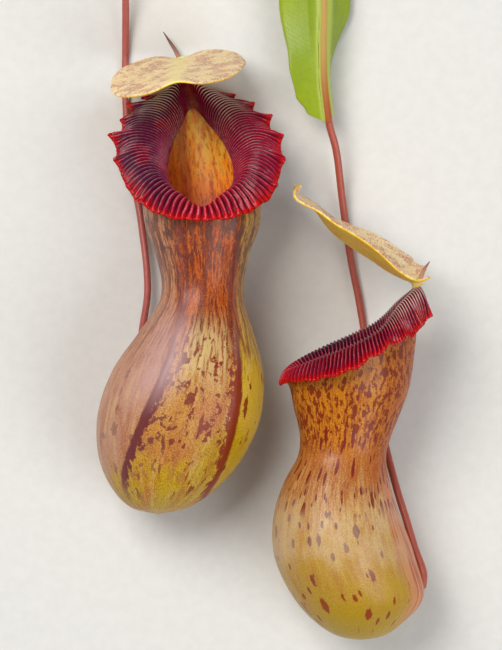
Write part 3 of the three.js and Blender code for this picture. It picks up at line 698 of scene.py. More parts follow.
def lid_object(name, plant):
    """A lid: an oval plate with a notched base, folded along its spine."""
    lid = plant["lid"]
    half = lid["half"]

    def spine(share):
        """Points along the lid's spine."""
        return spline(lid["spine"], share.ravel()).reshape(*share.shape, 3)

    def parts(u, v):
        """The square of u and v pressed into an oval: from -1 to 1 across, and from 0 to 1 along."""
        a, b = 2 * u - 1, 2 * v - 1
        return a * np.sqrt(1 - b * b / 2), 0.5 + 0.5 * b * np.sqrt(1 - a * a / 2)

    def place(u, v):
        """The upper face, with its notch, raised by its fold, roll, belly, droop, saddle and ripple."""
        across, along = parts(u, v)
        cleft = lid["notch"] * np.maximum(0, 1 - 2.6 * along) ** 2 * np.exp(-((across / 0.22) ** 2))
        share = np.clip(along + cleft, 0, 1)
        side = half * across
        arch = 4 * along * (1 - along)
        lift = ((lid["fold"] - lid["unfold"] * along) * half * (np.sqrt(across**2 + 0.012) - 0.11)
                + (lid["roll"] + lid["twist"] * along + lid["bend"] * arch) * side
                + lid["belly"] * arch**2 * np.maximum(side, 0)
                - lid["droop"] * across**2 * along
                + lid["saddle"] * (1 - 2 * along) * (1 - np.exp(-((across / 0.28) ** 2)))
                + 0.5 * across**2 * np.sin(9 * along + 2 * np.sign(across)))
        way = spine(np.clip(share + SMALL_STEP, 0, 1)) - spine(np.clip(share - SMALL_STEP, 0, 1))
        normal = unit(np.stack([0 * share, way[..., 2], -way[..., 1]], -1))
        return spine(share) + np.stack([side, 0 * side, 0 * side], -1) + normal * lift[..., None]

    def weft(u, v):
        """Flat coordinates in mm on the lid, for its flecks."""
        across, along = parts(u, v)
        return np.stack([half * across, length * along, 0 * u], -1)

    def border(u, v):
        """About how far a point is from the margin."""
        return half * (1 - np.maximum(abs(2 * u - 1), abs(2 * v - 1)))

    def whole(points):
        return laid(plant, points)

    length = np.linalg.norm(np.subtract(lid["spine"][-1], lid["spine"][0]))
    fields = {"weft": weft, "across": lambda u, v: parts(u, v)[0]}
    return blade_object(name, place, *LID_GRID, LID_THICKNESS, border, fields, whole)


def leaf_object(name, leaf):
    """A strap leaf with a raised midrib, waved margins and each half folded down."""
    steps = np.linspace(0, 1, 401)
    lengths = run_lengths(spline(leaf["midrib"], steps))
    length = lengths[-1]

    def parts(u, v):
        """The share of the length, the mm to the tip, the spread from -1 to 1, and a half's share and mm."""
        # Rows crowd towards the tip, and columns towards the midrib.
        share = np.clip(1 - np.maximum(1 - v, 0) ** 1.25, 0, 1)
        to_tip = (1 - share) * length
        spread = 2 * u - 1
        side = abs(spread) * (0.35 + 0.65 * abs(spread))
        return share, to_tip, spread, side, table(leaf["half"], to_tip)

    def place(u, v):
        """The upper face, with its halves folded down, its margins waved and its midrib raised."""
        share, to_tip, spread, side, half = parts(u, v)
        fold = np.where(spread < 0, table(leaf["left_fold"], to_tip), table(leaf["right_fold"], to_tip))
        fold = fold * np.minimum(1, 3 * side)
        wave = 0.9 * side**2 * np.sin(to_tip / 7 + 1.5 * np.sign(spread)) * np.minimum(1, half / 12)
        ridge = 0.7 * np.maximum(0, 1 - side * half / 1.6)
        t = np.interp(share * length, lengths, steps)
        middle = spline(leaf["midrib"], t.ravel()).reshape(*t.shape, 3)
        return middle + np.stack([
            np.sign(spread) * side * half * np.cos(fold),
            LEAF_SLANT * spread * half * (1 - share) ** 6,
            wave + ridge - side * half * np.sin(fold),
        ], -1)

    def border(u, v):
        """How far a point is from the margin or from an end."""
        _, to_tip, _, side, half = parts(u, v)
        return np.minimum(half * (1 - side), np.minimum(to_tip, length - to_tip) + 0.2)

    fields = {
        "off": lambda u, v: parts(u, v)[3] * parts(u, v)[4],
        "edge": lambda u, v: parts(u, v)[4] * (1 - parts(u, v)[3]),
        "spread": lambda u, v: parts(u, v)[2],
        "tip": lambda u, v: parts(u, v)[1],
    }
    return blade_object(name, place, *LEAF_GRID, BLADE_THICKNESS, border, fields)


# ---------------------------------------------------------------- cords


def cord_tree():
    """A round cord along a line, with the line's own radius, a little uneven and nowhere below z = 0."""
    g, entry, close = geometry_tree(
        "Vine cord",
        {
            "Sides": ("NodeSocketInt", 24),
            "Uneven": ("NodeSocketFloat", 0.00005),
            "Grain": ("NodeSocketFloat", 300.0),
            "Seed": ("NodeSocketFloat", 1.0),
            "Material": ("NodeSocketMaterial", None),
        },
    )
    curve = g.node("GeometryNodeMeshToCurve", Mesh=entry.outputs["Geometry"]).outputs[0]
    ring = g.node("GeometryNodeCurvePrimitiveCircle", {"mode": "RADIUS"}, Resolution=entry.outputs["Sides"],
                  Radius=1.0).outputs[0]
    turn = g.node("GeometryNodeSplineParameter").outputs["Factor"]
    ring = g.node("GeometryNodeStoreNamedAttribute", {"data_type": "FLOAT", "domain": "POINT"}, Geometry=ring,
                  Name="round", Value=turn).outputs[0]
    body = g.node("GeometryNodeCurveToMesh", Curve=curve, Profile_Curve=ring,
                  Scale=read_attribute(g, "radius"), Fill_Caps=True).outputs[0]
    place = g.node("GeometryNodeInputPosition").outputs[0]
    noise = g.node("ShaderNodeTexNoise", {"noise_dimensions": "4D"}, Vector=place, W=entry.outputs["Seed"],
                   Scale=entry.outputs["Grain"], Detail=2.0).outputs[0]
    amount = g.times(g.math("SUBTRACT", noise, 0.5), entry.outputs["Uneven"])
    offset = scaled(g, g.node("GeometryNodeInputNormal").outputs[0], amount)
    moved = g.node("GeometryNodeSetPosition", Geometry=body, Offset=offset).outputs[0]
    smooth = g.node("GeometryNodeSetShadeSmooth", Geometry=above_ground(g, moved)).outputs[0]
    return close(smooth, entry.outputs["Material"])


def cord_object(name, tree, material, points, radii, sides, uneven, seed, **attributes):
    """A cord from points in mm and the radius at each, uneven by so many mm."""
    edges = [(k, k + 1) for k in range(len(points) - 1)]
    mesh = bpy.data.meshes.new(name)
    mesh.from_pydata(((np.asarray(points) + ORIGIN) / 1000).tolist(), edges, [])
    store(mesh, {"radius": np.asarray(radii) / 1000, **attributes})
    values = {"Sides": sides, "Uneven": uneven / 1000, "Seed": float(seed), "Material": material}
    return face_out(apply_nodes(linked(name, mesh), tree, values))


def run_of(path, count):
    """Evenly spaced points along a path, and how far along each lies in mm."""
    t = by_length(lambda shares: spline(path, shares), np.linspace(0, 1, count))
    points = spline(path, t)
    return points, run_lengths(points)


def capped(points, radii, along, steps, shrink):
    """A cord with more points beyond both ends, further out by each end's steps in mm, and thinner."""
    head, tail = (points[end] + unit(points[end] - points[inner]) * np.asarray(step)[:, None]
                  for end, inner, step in ((0, 1, steps[0]), (-1, -2, steps[1])))
    shrink = np.asarray(shrink)
    radii = np.concatenate([radii[0] * shrink[::-1], radii, radii[-1] * shrink])
    return np.vstack([head[::-1], points, tail]), radii, np.pad(along, len(shrink), mode="edge")


def round_ends(points, radii, along):
    """A cord whose ends close in rounded tips."""
    share = np.array([0.45, 0.75, 0.95, 1.0])
    steps = np.outer([radii[0], radii[-1]], share)
    return capped(points, radii, along, steps, np.sqrt(1 - share**2).clip(0.02))


# ---------------------------------------------------------------- shaders


def colour(r, g, b):
    """A screen colour from 0 to 255 as the linear colour a shader takes."""
    lin = [c / 255 / 12.92 if c <= 10.3 else ((c / 255 + 0.055) / 1.055) ** 2.4 for c in (r, g, b)]
    return (*lin, 1.0)


class Shader(Graph):
    """A Principled material under construction."""

    def __init__(self, name, **principled):
        self.material = bpy.data.materials.new(name)
        self.material.use_nodes = True
        super().__init__(self.material.node_tree)
        self.bsdf = self.tree.nodes["Principled BSDF"]
        for key, value in principled.items():
            self.put(self.bsdf, key, value)
        self.place = self.node("ShaderNodeTexCoord").outputs["Object"]

    def attribute(self, name, output="Fac"):
        return self.node("ShaderNodeAttribute", {"attribute_name": name}).outputs[output]

    def stretched(self, vector, scale, shift=(0, 0, 0)):
        """A place scaled on each axis, which draws a pattern out where the scale is small."""
        return self.node("ShaderNodeMapping", Vector=vector, Scale=scale, Location=shift).outputs[0]

    def noise(self, scale, detail=3.0, rough=0.5, vector=None, distortion=0.0):
        return self.node("ShaderNodeTexNoise", Vector=vector or self.place, Scale=scale, Detail=detail,
                         Roughness=rough, Distortion=distortion).outputs["Fac"]

    def cells(self, scale, vector=None, feature="F1"):
        return self.node("ShaderNodeTexVoronoi", {"feature": feature}, Vector=vector or self.place,
                         Scale=scale).outputs["Distance"]

    def mix(self, factor, a, b):
        """Colour a where the factor is 0 and colour b where it is 1."""
        return self.node("ShaderNodeMix", {"data_type": "RGBA"}, i0=factor, i6=a, i7=b).outputs[2]

    def deeper(self, base, saturation, value):
        """A colour made richer and darker, or paler and brighter."""
        return self.node("ShaderNodeHueSaturation", Color=base, Saturation=saturation, Value=value).outputs[0]

    def bump(self, height, distance, strength):
        return self.node("ShaderNodeBump", Height=height, Distance=distance, Strength=strength).outputs[0]

    def done(self, base, roughness, normal):
        """The finished material."""
        for key, value in (("Base Color", base), ("Roughness", roughness), ("Normal", normal)):
            self.put(self.bsdf, key, value)
        return self.material


class WallShader(Shader):
    """A waxy pitcher wall under construction, with the readings that its colours need.

    The flow attribute unrolls to mm round a wall and up it. The zone is -1 and 1 on the two coloured ribs,
    and the ridge is the distance to the nearer one in mm.
    """

    def __init__(self, name):
        super().__init__(name, Subsurface_Weight=0.12, Subsurface_Scale=0.003,
                         Subsurface_Radius=(1.0, 0.45, 0.2), Coat_Weight=0.16, Coat_Roughness=0.24,
                         Specular_IOR_Level=0.28)
        self.flow = self.attribute("flow", "Vector")
        self.side, self.front, self.height = self.node("ShaderNodeSeparateXYZ", Vector=self.flow).outputs
        self.zone, self.ridge, self.inside = (self.attribute(key) for key in ("zone", "ridge", "inside"))

    def runs(self, scale, stretch, detail=3.0, rough=0.55, shift=0.0):
        """Noise that runs up the wall, drawn out along its height."""
        place = self.stretched(self.flow, (1, 1, 1 / stretch), (shift, shift * 0.7, shift * 1.3))
        return self.noise(scale, detail, rough, place)

    def unrolled(self, stretch, shift):
        """Flat coordinates in mm round the wall and up it, with the height drawn in by a factor."""
        turn = self.math("MULTIPLY", self.math("ARCTAN2", self.side, self.front), WALL_RADIUS)
        return self.node("ShaderNodeCombineXYZ", X=self.math("ADD", turn, shift),
                         Y=self.math("DIVIDE", self.height, stretch), Z=shift).outputs[0]

    def blotches(self, cell, stretch, small, large, share, ragged, shift=0.0):
        """Long spots in some of the cells that cover the wall: 1 on a spot, 0 off it. Sizes in mm."""
        flat = self.unrolled(stretch, shift)
        cells = self.node("ShaderNodeTexVoronoi", {"voronoi_dimensions": "2D"}, Vector=flat, Scale=1 / cell)
        chance = self.node("ShaderNodeSeparateColor", Color=cells.outputs["Color"])
        spread = self.math("POWER", chance.outputs[1], 1.6)
        size = self.math("MULTIPLY_ADD", spread, (large - small) / cell, small / cell)
        near = self.swayed(cells.outputs["Distance"], self.noise(0.9, 3.0, 0.62, flat), ragged / cell)
        inside = self.ramp(self.math("SUBTRACT", size, near), -0.012, 0.03)
        return self.times(inside, self.ramp(chance.outputs[0], 1 - share - 0.01, 1 - share + 0.01))

    def stippled(self, base, amount, dark, light):
        """Fine dark and light speckles over a colour, by an amount for each point."""
        fine = self.noise(2100, 3, 0.75)
        base = self.mix(self.times(self.ramp(fine, 0.48, 0.64), amount, 0.75), base, dark)
        return self.mix(self.times(self.ramp(fine, 0.47, 0.36), amount, 0.6), base, light)

    def lining(self, mouth):
        """The inside of a cup: golden below the mouth, redder further down, with brown-red runs down it."""
        height = self.height
        warm = self.mix(self.ramp(height, mouth - 15, mouth + 26), colour(226, 92, 50), colour(255, 158, 34))
        rusty = self.ramp(self.runs(0.75, 5, 4, 0.65), 0.5, 0.57)
        rusty = self.times(rusty, self.ramp(height, mouth + 30, mouth - 10, 0.35, 0.8))
        warm = self.mix(rusty, warm, colour(186, 72, 38))
        gold = self.ramp(self.runs(0.35, 3.0, 4, 0.65, 27.0), 0.47, 0.56)
        gold = self.times(gold, self.ramp(height, mouth + 6, mouth + 26), 0.8)
        warm = self.mix(gold, warm, colour(255, 206, 74))
        seam = self.ramp(self.absolute(self.math("ADD", self.side, 5.0)), 3.2, 1.0)
        warm = self.mix(self.times(seam, 0.6), warm, colour(176, 70, 34))
        dark = self.ramp(self.runs(0.8, 3.0, 4, 0.62, 9.0), 0.55, 0.6)
        dark = self.times(dark, self.ramp(height, mouth - 10, mouth + 14, 0.75, 0.5))
        return self.mix(dark, warm, colour(140, 46, 30))

    def joined_skins(self, outer, inner, dull):
        """The finished material from the colours of both skins, with the fine relief of the wall."""
        grain = self.times(self.noise(1500, 3, 0.6), 0.35)
        relief = self.math("ADD", grain, self.times(self.runs(0.9, 14, 2), 0.8))
        relief = self.math("ADD", relief, self.times(self.cells(900), 0.3))
        rough = self.math("MULTIPLY_ADD", self.noise(260, 3), 0.16, dull)
        base = self.mix(self.inside, self.deeper(outer, 1.1, 0.85), inner)
        return self.done(base, rough, self.bump(relief, 0.00012, 0.5))


# ---------------------------------------------------------------- the left pitcher's wall


def left_bulb(s, across):
    """From a pinkish left flank to a yellow right one, and yellow at its foot."""
    slow, soft = s.runs(0.12, 1.6, 3), s.runs(0.5, 7, 4, 0.65, 51.0)
    bulb = s.mix(s.ramp(across, -1.3, -0.75), colour(200, 152, 128), colour(204, 150, 88))
    bulb = s.mix(s.ramp(across, 0.85, 1.1), bulb, colour(228, 194, 90))
    low = s.math("MULTIPLY_ADD", s.zone, -7.0, s.swayed(s.height, slow, 40.0))
    bulb = s.mix(s.ramp(low, 34, 6), bulb, colour(206, 172, 58))
    middle = s.ramp(s.absolute(s.zone), 1.5, 0.8)
    bulb = s.mix(s.times(s.ramp(slow, 0.46, 0.64), middle, 0.6), bulb, colour(196, 118, 76))
    brown = s.times(s.ramp(soft, 0.5, 0.62), s.ramp(s.zone, 1.2, 0.6, 0.15, 0.5))
    bulb = s.mix(brown, bulb, colour(170, 108, 80))
    return s.mix(s.times(s.ramp(soft, 0.46, 0.36), 0.4), bulb, colour(228, 196, 140))


def left_waist(s, across, streak, column):
    """Dark runs and short orange dashes, greyer just under the collar."""
    waist = s.mix(s.ramp(across, -1.35, -0.95), colour(200, 148, 116), colour(190, 98, 60))
    waist = s.mix(s.ramp(across, 1.0, 1.35), waist, colour(206, 172, 104))
    core = s.ramp(s.absolute(s.zone), 1.7, 1.0)
    dark = s.times(s.ramp(streak, 0.48, 0.55), s.ramp(core, 0, 1, 0.5, 0.92, "LINEAR"))
    waist = s.mix(dark, waist, colour(114, 44, 40))
    dash = s.runs(1.5, 3.2, 4, 0.65, 31.0)
    orange = s.times(s.ramp(dash, 0.54, 0.6), s.ramp(core, 0, 1, 0.3, 0.65, "LINEAR"))
    waist = s.mix(orange, waist, colour(210, 130, 80))
    waist = s.mix(s.times(s.ramp(dash, 0.46, 0.4), 0.55), waist, colour(120, 46, 38))
    waist = s.mix(s.times(s.ramp(column, 0.52, 0.6), 0.7), waist, colour(104, 42, 40))
    grey = s.times(s.ramp(s.height, 76, 98), s.ramp(s.runs(0.4, 1.8, 4, 0.6, 71.0), 0.5, 0.57), 0.8)
    return s.mix(grey, waist, colour(96, 60, 54))


def left_marks(s, base):
    """Irregular dark blotches, thickest right of the left rib, and thin dashes that follow the wall."""
    zone, height = s.zone, s.height
    crowd = s.times(s.ramp(zone, -1.15, -0.85), s.ramp(zone, 1.1, 0.7), s.ramp(height, 8, 24),
                    s.ramp(height, 72, 62))
    lean = s.math("MULTIPLY_ADD", s.ramp(zone, 0.0, -0.8), 0.03, s.runs(0.42, 1.7, 5, 0.66, 3.0))
    lean = s.math("MULTIPLY_ADD", s.ramp(zone, 0.35, 0.8), 0.012, lean)
    ragged = s.times(s.ramp(lean, 0.575, 0.592), crowd)
    spots = s.times(s.blotches(5.2, 2.1, 0.2, 1.5, 0.62, 3.4), s.ramp(height, 74, 60), s.ramp(height, 3, 10),
                    s.ramp(s.absolute(zone), 2.6, 2.2))
    long = s.times(s.blotches(7.5, 5.5, 0.35, 0.85, 0.42, 2.0, 9.0), s.ramp(height, 62, 54),
                   s.ramp(height, 6, 12), s.ramp(zone, -1.3, -0.9, 0.7, 1.0))
    thin = s.times(s.blotches(4.0, 4.5, 0.12, 0.5, 0.62, 1.2, 17.0), s.ramp(height, 84, 70), 0.8)
    marks = s.math("MAXIMUM", s.math("MAXIMUM", ragged, long), s.math("MAXIMUM", spots, thin))
    marks = s.times(marks, s.ramp(zone, -1.3, -0.8, 0.5, 0.95),
                    s.ramp(s.noise(1900, 3, 0.7), 0.35, 0.5, 0.75, 1.0))
    tint = s.mix(s.ramp(zone, -1.3, 0.6), colour(118, 72, 72), colour(136, 48, 38))
    return s.mix(marks, base, tint)


def left_ribs(s, base, column):
    """The two dark ribs, ragged on their inner side and broken up where they climb into the waist."""
    zone, height = s.zone, s.height
    within = s.ramp(s.absolute(zone), 1.05, 0.93)
    edge = s.swayed(s.ridge, s.runs(0.75, 2.6, 5, 0.72), s.math("MULTIPLY_ADD", within, 11.0, 2.0))
    edge = s.swayed(edge, s.noise(700, 3, 0.7), s.math("MULTIPLY_ADD", within, 1.6, 0.4))
    wide = s.times(s.ramp(height, 4, 30, 0.9, 1.8, "LINEAR"), s.ramp(zone, -0.3, 0.3, 1.05, 1.1),
                   s.ramp(height, 42, 66, 1.0, 0.6))
    rib = s.times(s.ramp(s.math("SUBTRACT", edge, wide), 0.35, -0.35),
                  s.ramp(s.swayed(height, column, 60.0), 80, 56, 0.3, 0.95),
                  s.ramp(s.math("MULTIPLY_ADD", zone, 12.0, height), -9, 2))
    dark = s.mix(s.ramp(zone, -0.3, 0.3), colour(112, 54, 58), colour(140, 50, 38))
    dark = s.mix(s.times(s.ramp(height, 44, 64), 0.7), dark, colour(122, 88, 92))
    return s.mix(rib, base, dark)


def left_wall(settings):
    """Pinkish tan to yellow-green, with two dark ribs down the front and a streaked waist."""
    s = WallShader("left pitcher wall")
    streak, column = s.runs(1.0, 9, 5, 0.7), s.runs(0.3, 14, 3, 0.6, 61.0)
    across = s.swayed(s.zone, s.runs(0.5, 3.0, 4), 0.6)
    waist = left_waist(s, across, streak, column)
    base = s.mix(s.ramp(s.swayed(s.height, streak, 60.0), 48, 72), left_bulb(s, across), waist)
    amount = s.times(s.ramp(s.absolute(across), 1.6, 0.7, 0.45, 0.95), s.ramp(s.height, 90, 50, 0.3, 1.0))
    base = s.stippled(base, amount, colour(142, 66, 42), colour(224, 180, 114))
    # A cream patch on the upper bulb: part pale bloom, part painted highlight.
    cream = s.times(s.ramp(s.height, 40, 56), s.ramp(s.height, 76, 62), s.ramp(s.zone, -0.85, -0.4),
                    s.ramp(s.zone, 0.9, 0.6), s.ramp(streak, 0.62, 0.46), 0.6)
    base = s.mix(cream, base, colour(222, 202, 150))
    base = left_ribs(s, left_marks(s, base), column)
    # A pale lilac veil on the left shoulder: part wax bloom, part painted highlight.
    bloom_and_highlight = s.times(s.ramp(s.zone, -2.4, -1.3), s.ramp(s.zone, -0.2, -1.0), s.ramp(s.height, 34, 52),
                    s.ramp(s.height, 80, 64), settings.bloom_and_highlight)
    base = s.mix(bloom_and_highlight, base, colour(214, 180, 178))
    return s.joined_skins(base, s.lining(110), 0.38)


# ---------------------------------------------------------------- the right pitcher's wall


def right_bulb(s, streak, slow):
    """Olive-yellow below and cream on its shoulder, with soft brown and pale runs."""
    level, soft = s.swayed(s.height, slow, 26.0), s.runs(0.5, 7, 4, 0.65, 51.0)
    bulb = s.mix(s.ramp(level, 6, 32), colour(190, 156, 58), colour(196, 156, 84))
    bulb = s.mix(s.ramp(level, 28, 46), bulb, colour(208, 174, 124))
    brown = s.times(s.ramp(soft, 0.5, 0.62), s.ramp(s.height, 6, 24), 0.4)
    bulb = s.mix(brown, bulb, colour(180, 122, 82))
    pale = s.times(s.ramp(soft, 0.46, 0.36), s.ramp(s.height, 18, 34), 0.4)
    bulb = s.mix(pale, bulb, colour(222, 196, 132))
    rosy = s.times(s.ramp(streak, 0.48, 0.58), s.ramp(s.height, 26, 50), 0.5)
    return s.mix(rosy, bulb, colour(198, 134, 90))


def right_waist(s, streak, back):
    """Orange under the collar, redder behind and paler in front."""
    waist = s.mix(s.ramp(s.height, 62, 80), colour(184, 116, 72), colour(214, 136, 56))
    waist = s.mix(s.times(s.ramp(back, 0.35, 0.95), 0.7), waist, colour(176, 84, 50))
    waist = s.mix(s.times(s.ramp(back, -0.5, -0.95), 0.6), waist, colour(194, 132, 84))
    dark = s.times(s.ramp(streak, 0.49, 0.57), s.ramp(s.height, 62, 78, 0.35, 0.6))
    return s.mix(dark, waist, colour(160, 76, 50))


def right_flush(s, base, streak, back):
    """The back of the bulb flushes pink, with red runs, where the tendril passes behind it."""
    flush = s.times(s.ramp(s.swayed(back, streak, 0.5), 0.72, 0.95), s.ramp(s.height, 66, 50),
                    s.ramp(s.height, 2, 14), 0.75)
    red = s.times(s.ramp(s.runs(0.8, 24, 2, 0.5, 40.0), 0.52, 0.58), flush, 0.85)
    return s.mix(red, s.mix(flush, base, colour(226, 150, 118)), colour(172, 62, 54))


def right_marks(s, base, back):
    """Sparse long spots on the bulb, dashes in the waist, and crowded blotches below the collar."""
    height = s.height
    spots = s.math("MAXIMUM", s.blotches(6.4, 2.5, 0.5, 1.4, 0.92, 1.8, 3.0),
                   s.blotches(4.8, 2.6, 0.3, 0.8, 0.7, 1.0, 14.0))
    spots = s.times(spots, s.ramp(height, 62, 52), s.ramp(height, 3, 8), s.ramp(back, 0.9, 0.7), 0.9)
    tint = s.mix(s.ramp(height, 14, 40), colour(150, 58, 42), colour(120, 72, 74))
    base = s.mix(spots, base, tint)
    dashes = s.math("MAXIMUM", s.blotches(3.0, 3.6, 0.35, 0.85, 0.8, 0.9, 21.0),
                    s.blotches(3.8, 4.4, 0.35, 0.85, 0.6, 0.9, 41.0))
    dashes = s.times(dashes, s.ramp(height, 44, 52), s.ramp(height, 88, 76), 0.95)
    base = s.mix(dashes, base, colour(126, 46, 42))
    crowd = s.math("MAXIMUM", s.ramp(s.runs(0.72, 1.9, 5, 0.6, 12.0), 0.525, 0.545),
                   s.blotches(3.3, 2.0, 0.3, 1.15, 0.8, 1.9, 27.0))
    return s.mix(s.times(crowd, s.ramp(height, 66, 75), 0.9), base, colour(128, 48, 36))


def right_wall(settings):
    """Olive-yellow below, a cream shoulder, and an orange waist covered in dark red-brown blotches."""
    s = WallShader("right pitcher wall")
    slow, streak = s.runs(0.12, 1.6, 3, 0.5, 5.0), s.runs(1.0, 9, 5, 0.68, 5.0)
    back = s.math("MULTIPLY", s.front, -1 / WALL_RADIUS)
    waist = right_waist(s, streak, back)
    base = s.mix(s.ramp(s.swayed(s.height, streak, 50.0), 44, 66), right_bulb(s, streak, slow), waist)
    amount = s.times(s.ramp(s.height, 6, 50, 0.55, 0.8), s.ramp(slow, 0.3, 0.6, 0.6, 1.0))
    base = s.stippled(base, amount, colour(152, 84, 48), colour(224, 188, 120))
    base = right_marks(s, right_flush(s, base, streak, back), back)
    # A pale veil on the shoulder: part wax bloom, part painted highlight.
    bloom_and_highlight = s.times(s.ramp(s.height, 24, 36), s.ramp(s.height, 56, 46), s.ramp(slow, 0.35, 0.6),
                    settings.bloom_and_highlight, 0.6)
    base = s.mix(bloom_and_highlight, base, colour(222, 198, 164))
    return s.joined_skins(base, s.lining(97), 0.36)


# ---------------------------------------------------------------- the other finishes


def collar_finish(settings):
    """Glossy purple-crimson ribs with crests paled by painted highlights over grooves darkened by painted
    shade, red only at the toothed margin.
    """
    s = Shader("crimson ribbed collar", Coat_Weight=0.17, Coat_Roughness=0.08, Specular_IOR_Level=0.12,
               Subsurface_Weight=0.04, Subsurface_Scale=0.001)
    share, rib, under, around = (s.attribute(key) for key in ("share", "rib", "under", "around"))
    patch, grain = s.noise(95, 3, 0.6), s.noise(900, 4, 0.65)
    from_back = s.absolute(s.math("SUBTRACT", around, 0.5))
    front = s.ramp(from_back, 0.4, 0.5)

    # Purple on the left flank, crimson on the right, plum in the throat, red to the front and the margin.
    flank = s.mix(s.ramp(around, 0.54, 0.46), colour(88, 18, 52), colour(140, 18, 46))
    span = s.swayed(share, patch, 1.1)
    base = s.mix(s.ramp(span, -0.7, -0.1), colour(132, 34, 60), flank)
    base = s.mix(s.times(s.ramp(patch, 0.5, 0.64), 0.7), base, colour(150, 20, 42))
    base = s.mix(s.ramp(span, 0.6, 1.1), base, colour(172, 24, 38))
    base = s.mix(s.times(front, 0.85), base, colour(192, 36, 46))
    lip = s.ramp(s.swayed(share, grain, 0.3), 0.86, 1.0)
    base = s.mix(s.times(lip, 0.7), base, (*settings.lip_colour, 1.0))
    seam = s.times(s.ramp(from_back, 0.022, 0.006), s.ramp(share, -0.3, -0.8), 0.8)
    base = s.mix(seam, base, colour(196, 78, 34))

    # Grooves between the ribs darkened with painted shade, and crests turned pale with painted highlights,
    # most of all near the back.
    groove = s.times(s.ramp(rib, 0.5, 0.02), s.ramp(share, 1.0, 0.7, 0.5, 0.9))
    base = s.mix(groove, base, colour(36, 5, 20))
    # Painted highlights: pale pink to near-white lines along the rib crests.
    crest_highlight = s.times(s.ramp(rib, 0.74, 0.98), s.ramp(grain, 0.4, 0.6, 0.4, 1.0),
                   s.ramp(patch, 0.36, 0.58, 0.35, 0.85), s.ramp(share, 0.97, 0.75, 0.15, 1.0),
                   s.math("MULTIPLY_ADD", front, 0.4, 0.6))
    back = s.times(s.ramp(from_back, 0.26, 0.12), s.ramp(patch, 0.4, 0.6))
    base = s.mix(crest_highlight, base, s.mix(back, colour(206, 140, 150), colour(216, 204, 190)))
    # Painted highlight: near-white glints on the rib crests towards the back.
    back_crest_glint = s.times(s.ramp(from_back, 0.22, 0.1), s.ramp(rib, 0.5, 0.85),
                    s.ramp(s.absolute(s.math("SUBTRACT", share, 0.15)), 0.55, 0.2), 0.75)
    base = s.mix(back_crest_glint, base, colour(210, 196, 186))
    base = s.mix(s.times(under, 0.8), base, colour(176, 74, 56))
    base = s.deeper(base, 1.06, 0.95)
    return s.done(base, s.math("MULTIPLY_ADD", grain, 0.2, 0.2), s.bump(grain, 0.00006, 0.5))


def lid_finish(settings):
    """Cream with pink-brown flecks above, bright yellow with fine dots below."""
    s = Shader("speckled lid", Coat_Weight=0.06, Specular_IOR_Level=0.3, Coat_Roughness=0.35,
               Subsurface_Weight=0.45, Subsurface_Scale=0.002)
    weft, across = s.attribute("weft", "Vector"), s.absolute(s.attribute("across"))
    drawn = s.stretched(weft, (0.55, 1.3, 1))
    flecks, fine = s.noise(1.7, 4, 0.7, drawn, 0.6), s.noise(3.2, 3, 0.6, weft)
    patch = s.noise(0.16, 3, 0.5, weft)

    ground = (*settings.lid_colour, 1.0)
    top = s.mix(s.times(s.ramp(patch, 0.45, 0.58), 0.85), ground, colour(206, 130, 104))
    top = s.mix(s.ramp(across, 0.22, 0.03, 0.0, 0.8), top, colour(252, 230, 140))
    speck = s.times(s.ramp(flecks, 0.51, 0.55), s.ramp(across, 0.02, 0.3, 0.3, 0.95),
                    s.ramp(patch, 0.4, 0.58, 0.5, 1.0))
    top = s.mix(speck, top, colour(146, 78, 58))
    bright = s.times(s.ramp(s.noise(0.5, 4, 0.65, weft), 0.5, 0.6), s.ramp(fine, 0.42, 0.56, 0.35, 0.9))
    bright = s.math("MAXIMUM", bright, s.times(s.ramp(fine, 0.49, 0.58), 0.8))
    top = s.mix(bright, top, colour(255, 232, 186))

    below = s.mix(s.ramp(patch, 0.35, 0.7), colour(255, 210, 34), colour(250, 190, 34))
    dots = s.times(s.ramp(s.cells(1.3, weft), 0.3, 0.16), 0.6)
    below = s.mix(dots, below, colour(170, 106, 36))
    veins = s.ramp(s.cells(0.35, drawn, "DISTANCE_TO_EDGE"), 0.1, 0.0)
    relief = s.math("MULTIPLY_ADD", veins, 0.4, flecks)
    return s.done(s.mix(s.attribute("under"), top, below), s.math("MULTIPLY_ADD", fine, 0.2, 0.42),
                  s.bump(relief, 0.00018, 0.6))


def round_cord(s, pitch):
    """The mm along a cord, the angle round it, and a place on a tube of radius 1 with its length drawn in."""
    along = s.attribute("along")
    angle = s.math("MULTIPLY", s.attribute("round"), 2 * math.pi)
    tube = s.node("ShaderNodeCombineXYZ", X=s.math("COSINE", angle), Y=s.math("SINE", angle),
                  Z=s.math("MULTIPLY", along, pitch)).outputs[0]
    return along, angle, tube


def tendril_finish(name, main, side, spot):
    """A smooth tendril: fine runs along it, freckles, and one flank in a paler colour."""
    s = Shader(name, Coat_Weight=0.2, Coat_Roughness=0.3, Subsurface_Weight=0.1, Subsurface_Scale=0.001)
    along, angle, tube = round_cord(s, 0.16)
    runs, fine = s.noise(2.6, 4, 0.6, tube), s.noise(2200, 3, 0.6)
    flank = s.ramp(s.math("SINE", s.math("MULTIPLY_ADD", along, 0.006, angle)), 0.15, 0.85)
    base = s.mix(s.times(flank, 0.75), main, side)
    base = s.mix(s.times(s.ramp(runs, 0.5, 0.68), 0.55), base, spot)
    base = s.mix(s.times(s.ramp(fine, 0.56, 0.68), 0.4), base, colour(112, 48, 40))
    relief = s.math("ADD", runs, fine)
    return s.done(base, s.math("MULTIPLY_ADD", fine, 0.15, 0.36), s.bump(relief, 0.00008, 0.5))


def spur_finish():
    """A dry brown horn, darker towards its tip."""
    s = Shader("dry spur", Coat_Weight=0.05)
    grain = s.noise(900, 4, 0.65, s.stretched(s.place, (3, 1, 1)))
    base = s.mix(s.ramp(s.attribute("along"), 0.0, 9.0), colour(196, 138, 112), colour(122, 82, 68))
    base = s.mix(s.times(s.ramp(grain, 0.5, 0.65), 0.5), base, colour(128, 76, 58))
    return s.done(base, s.math("MULTIPLY_ADD", grain, 0.2, 0.5), s.bump(grain, 0.00008, 0.6))


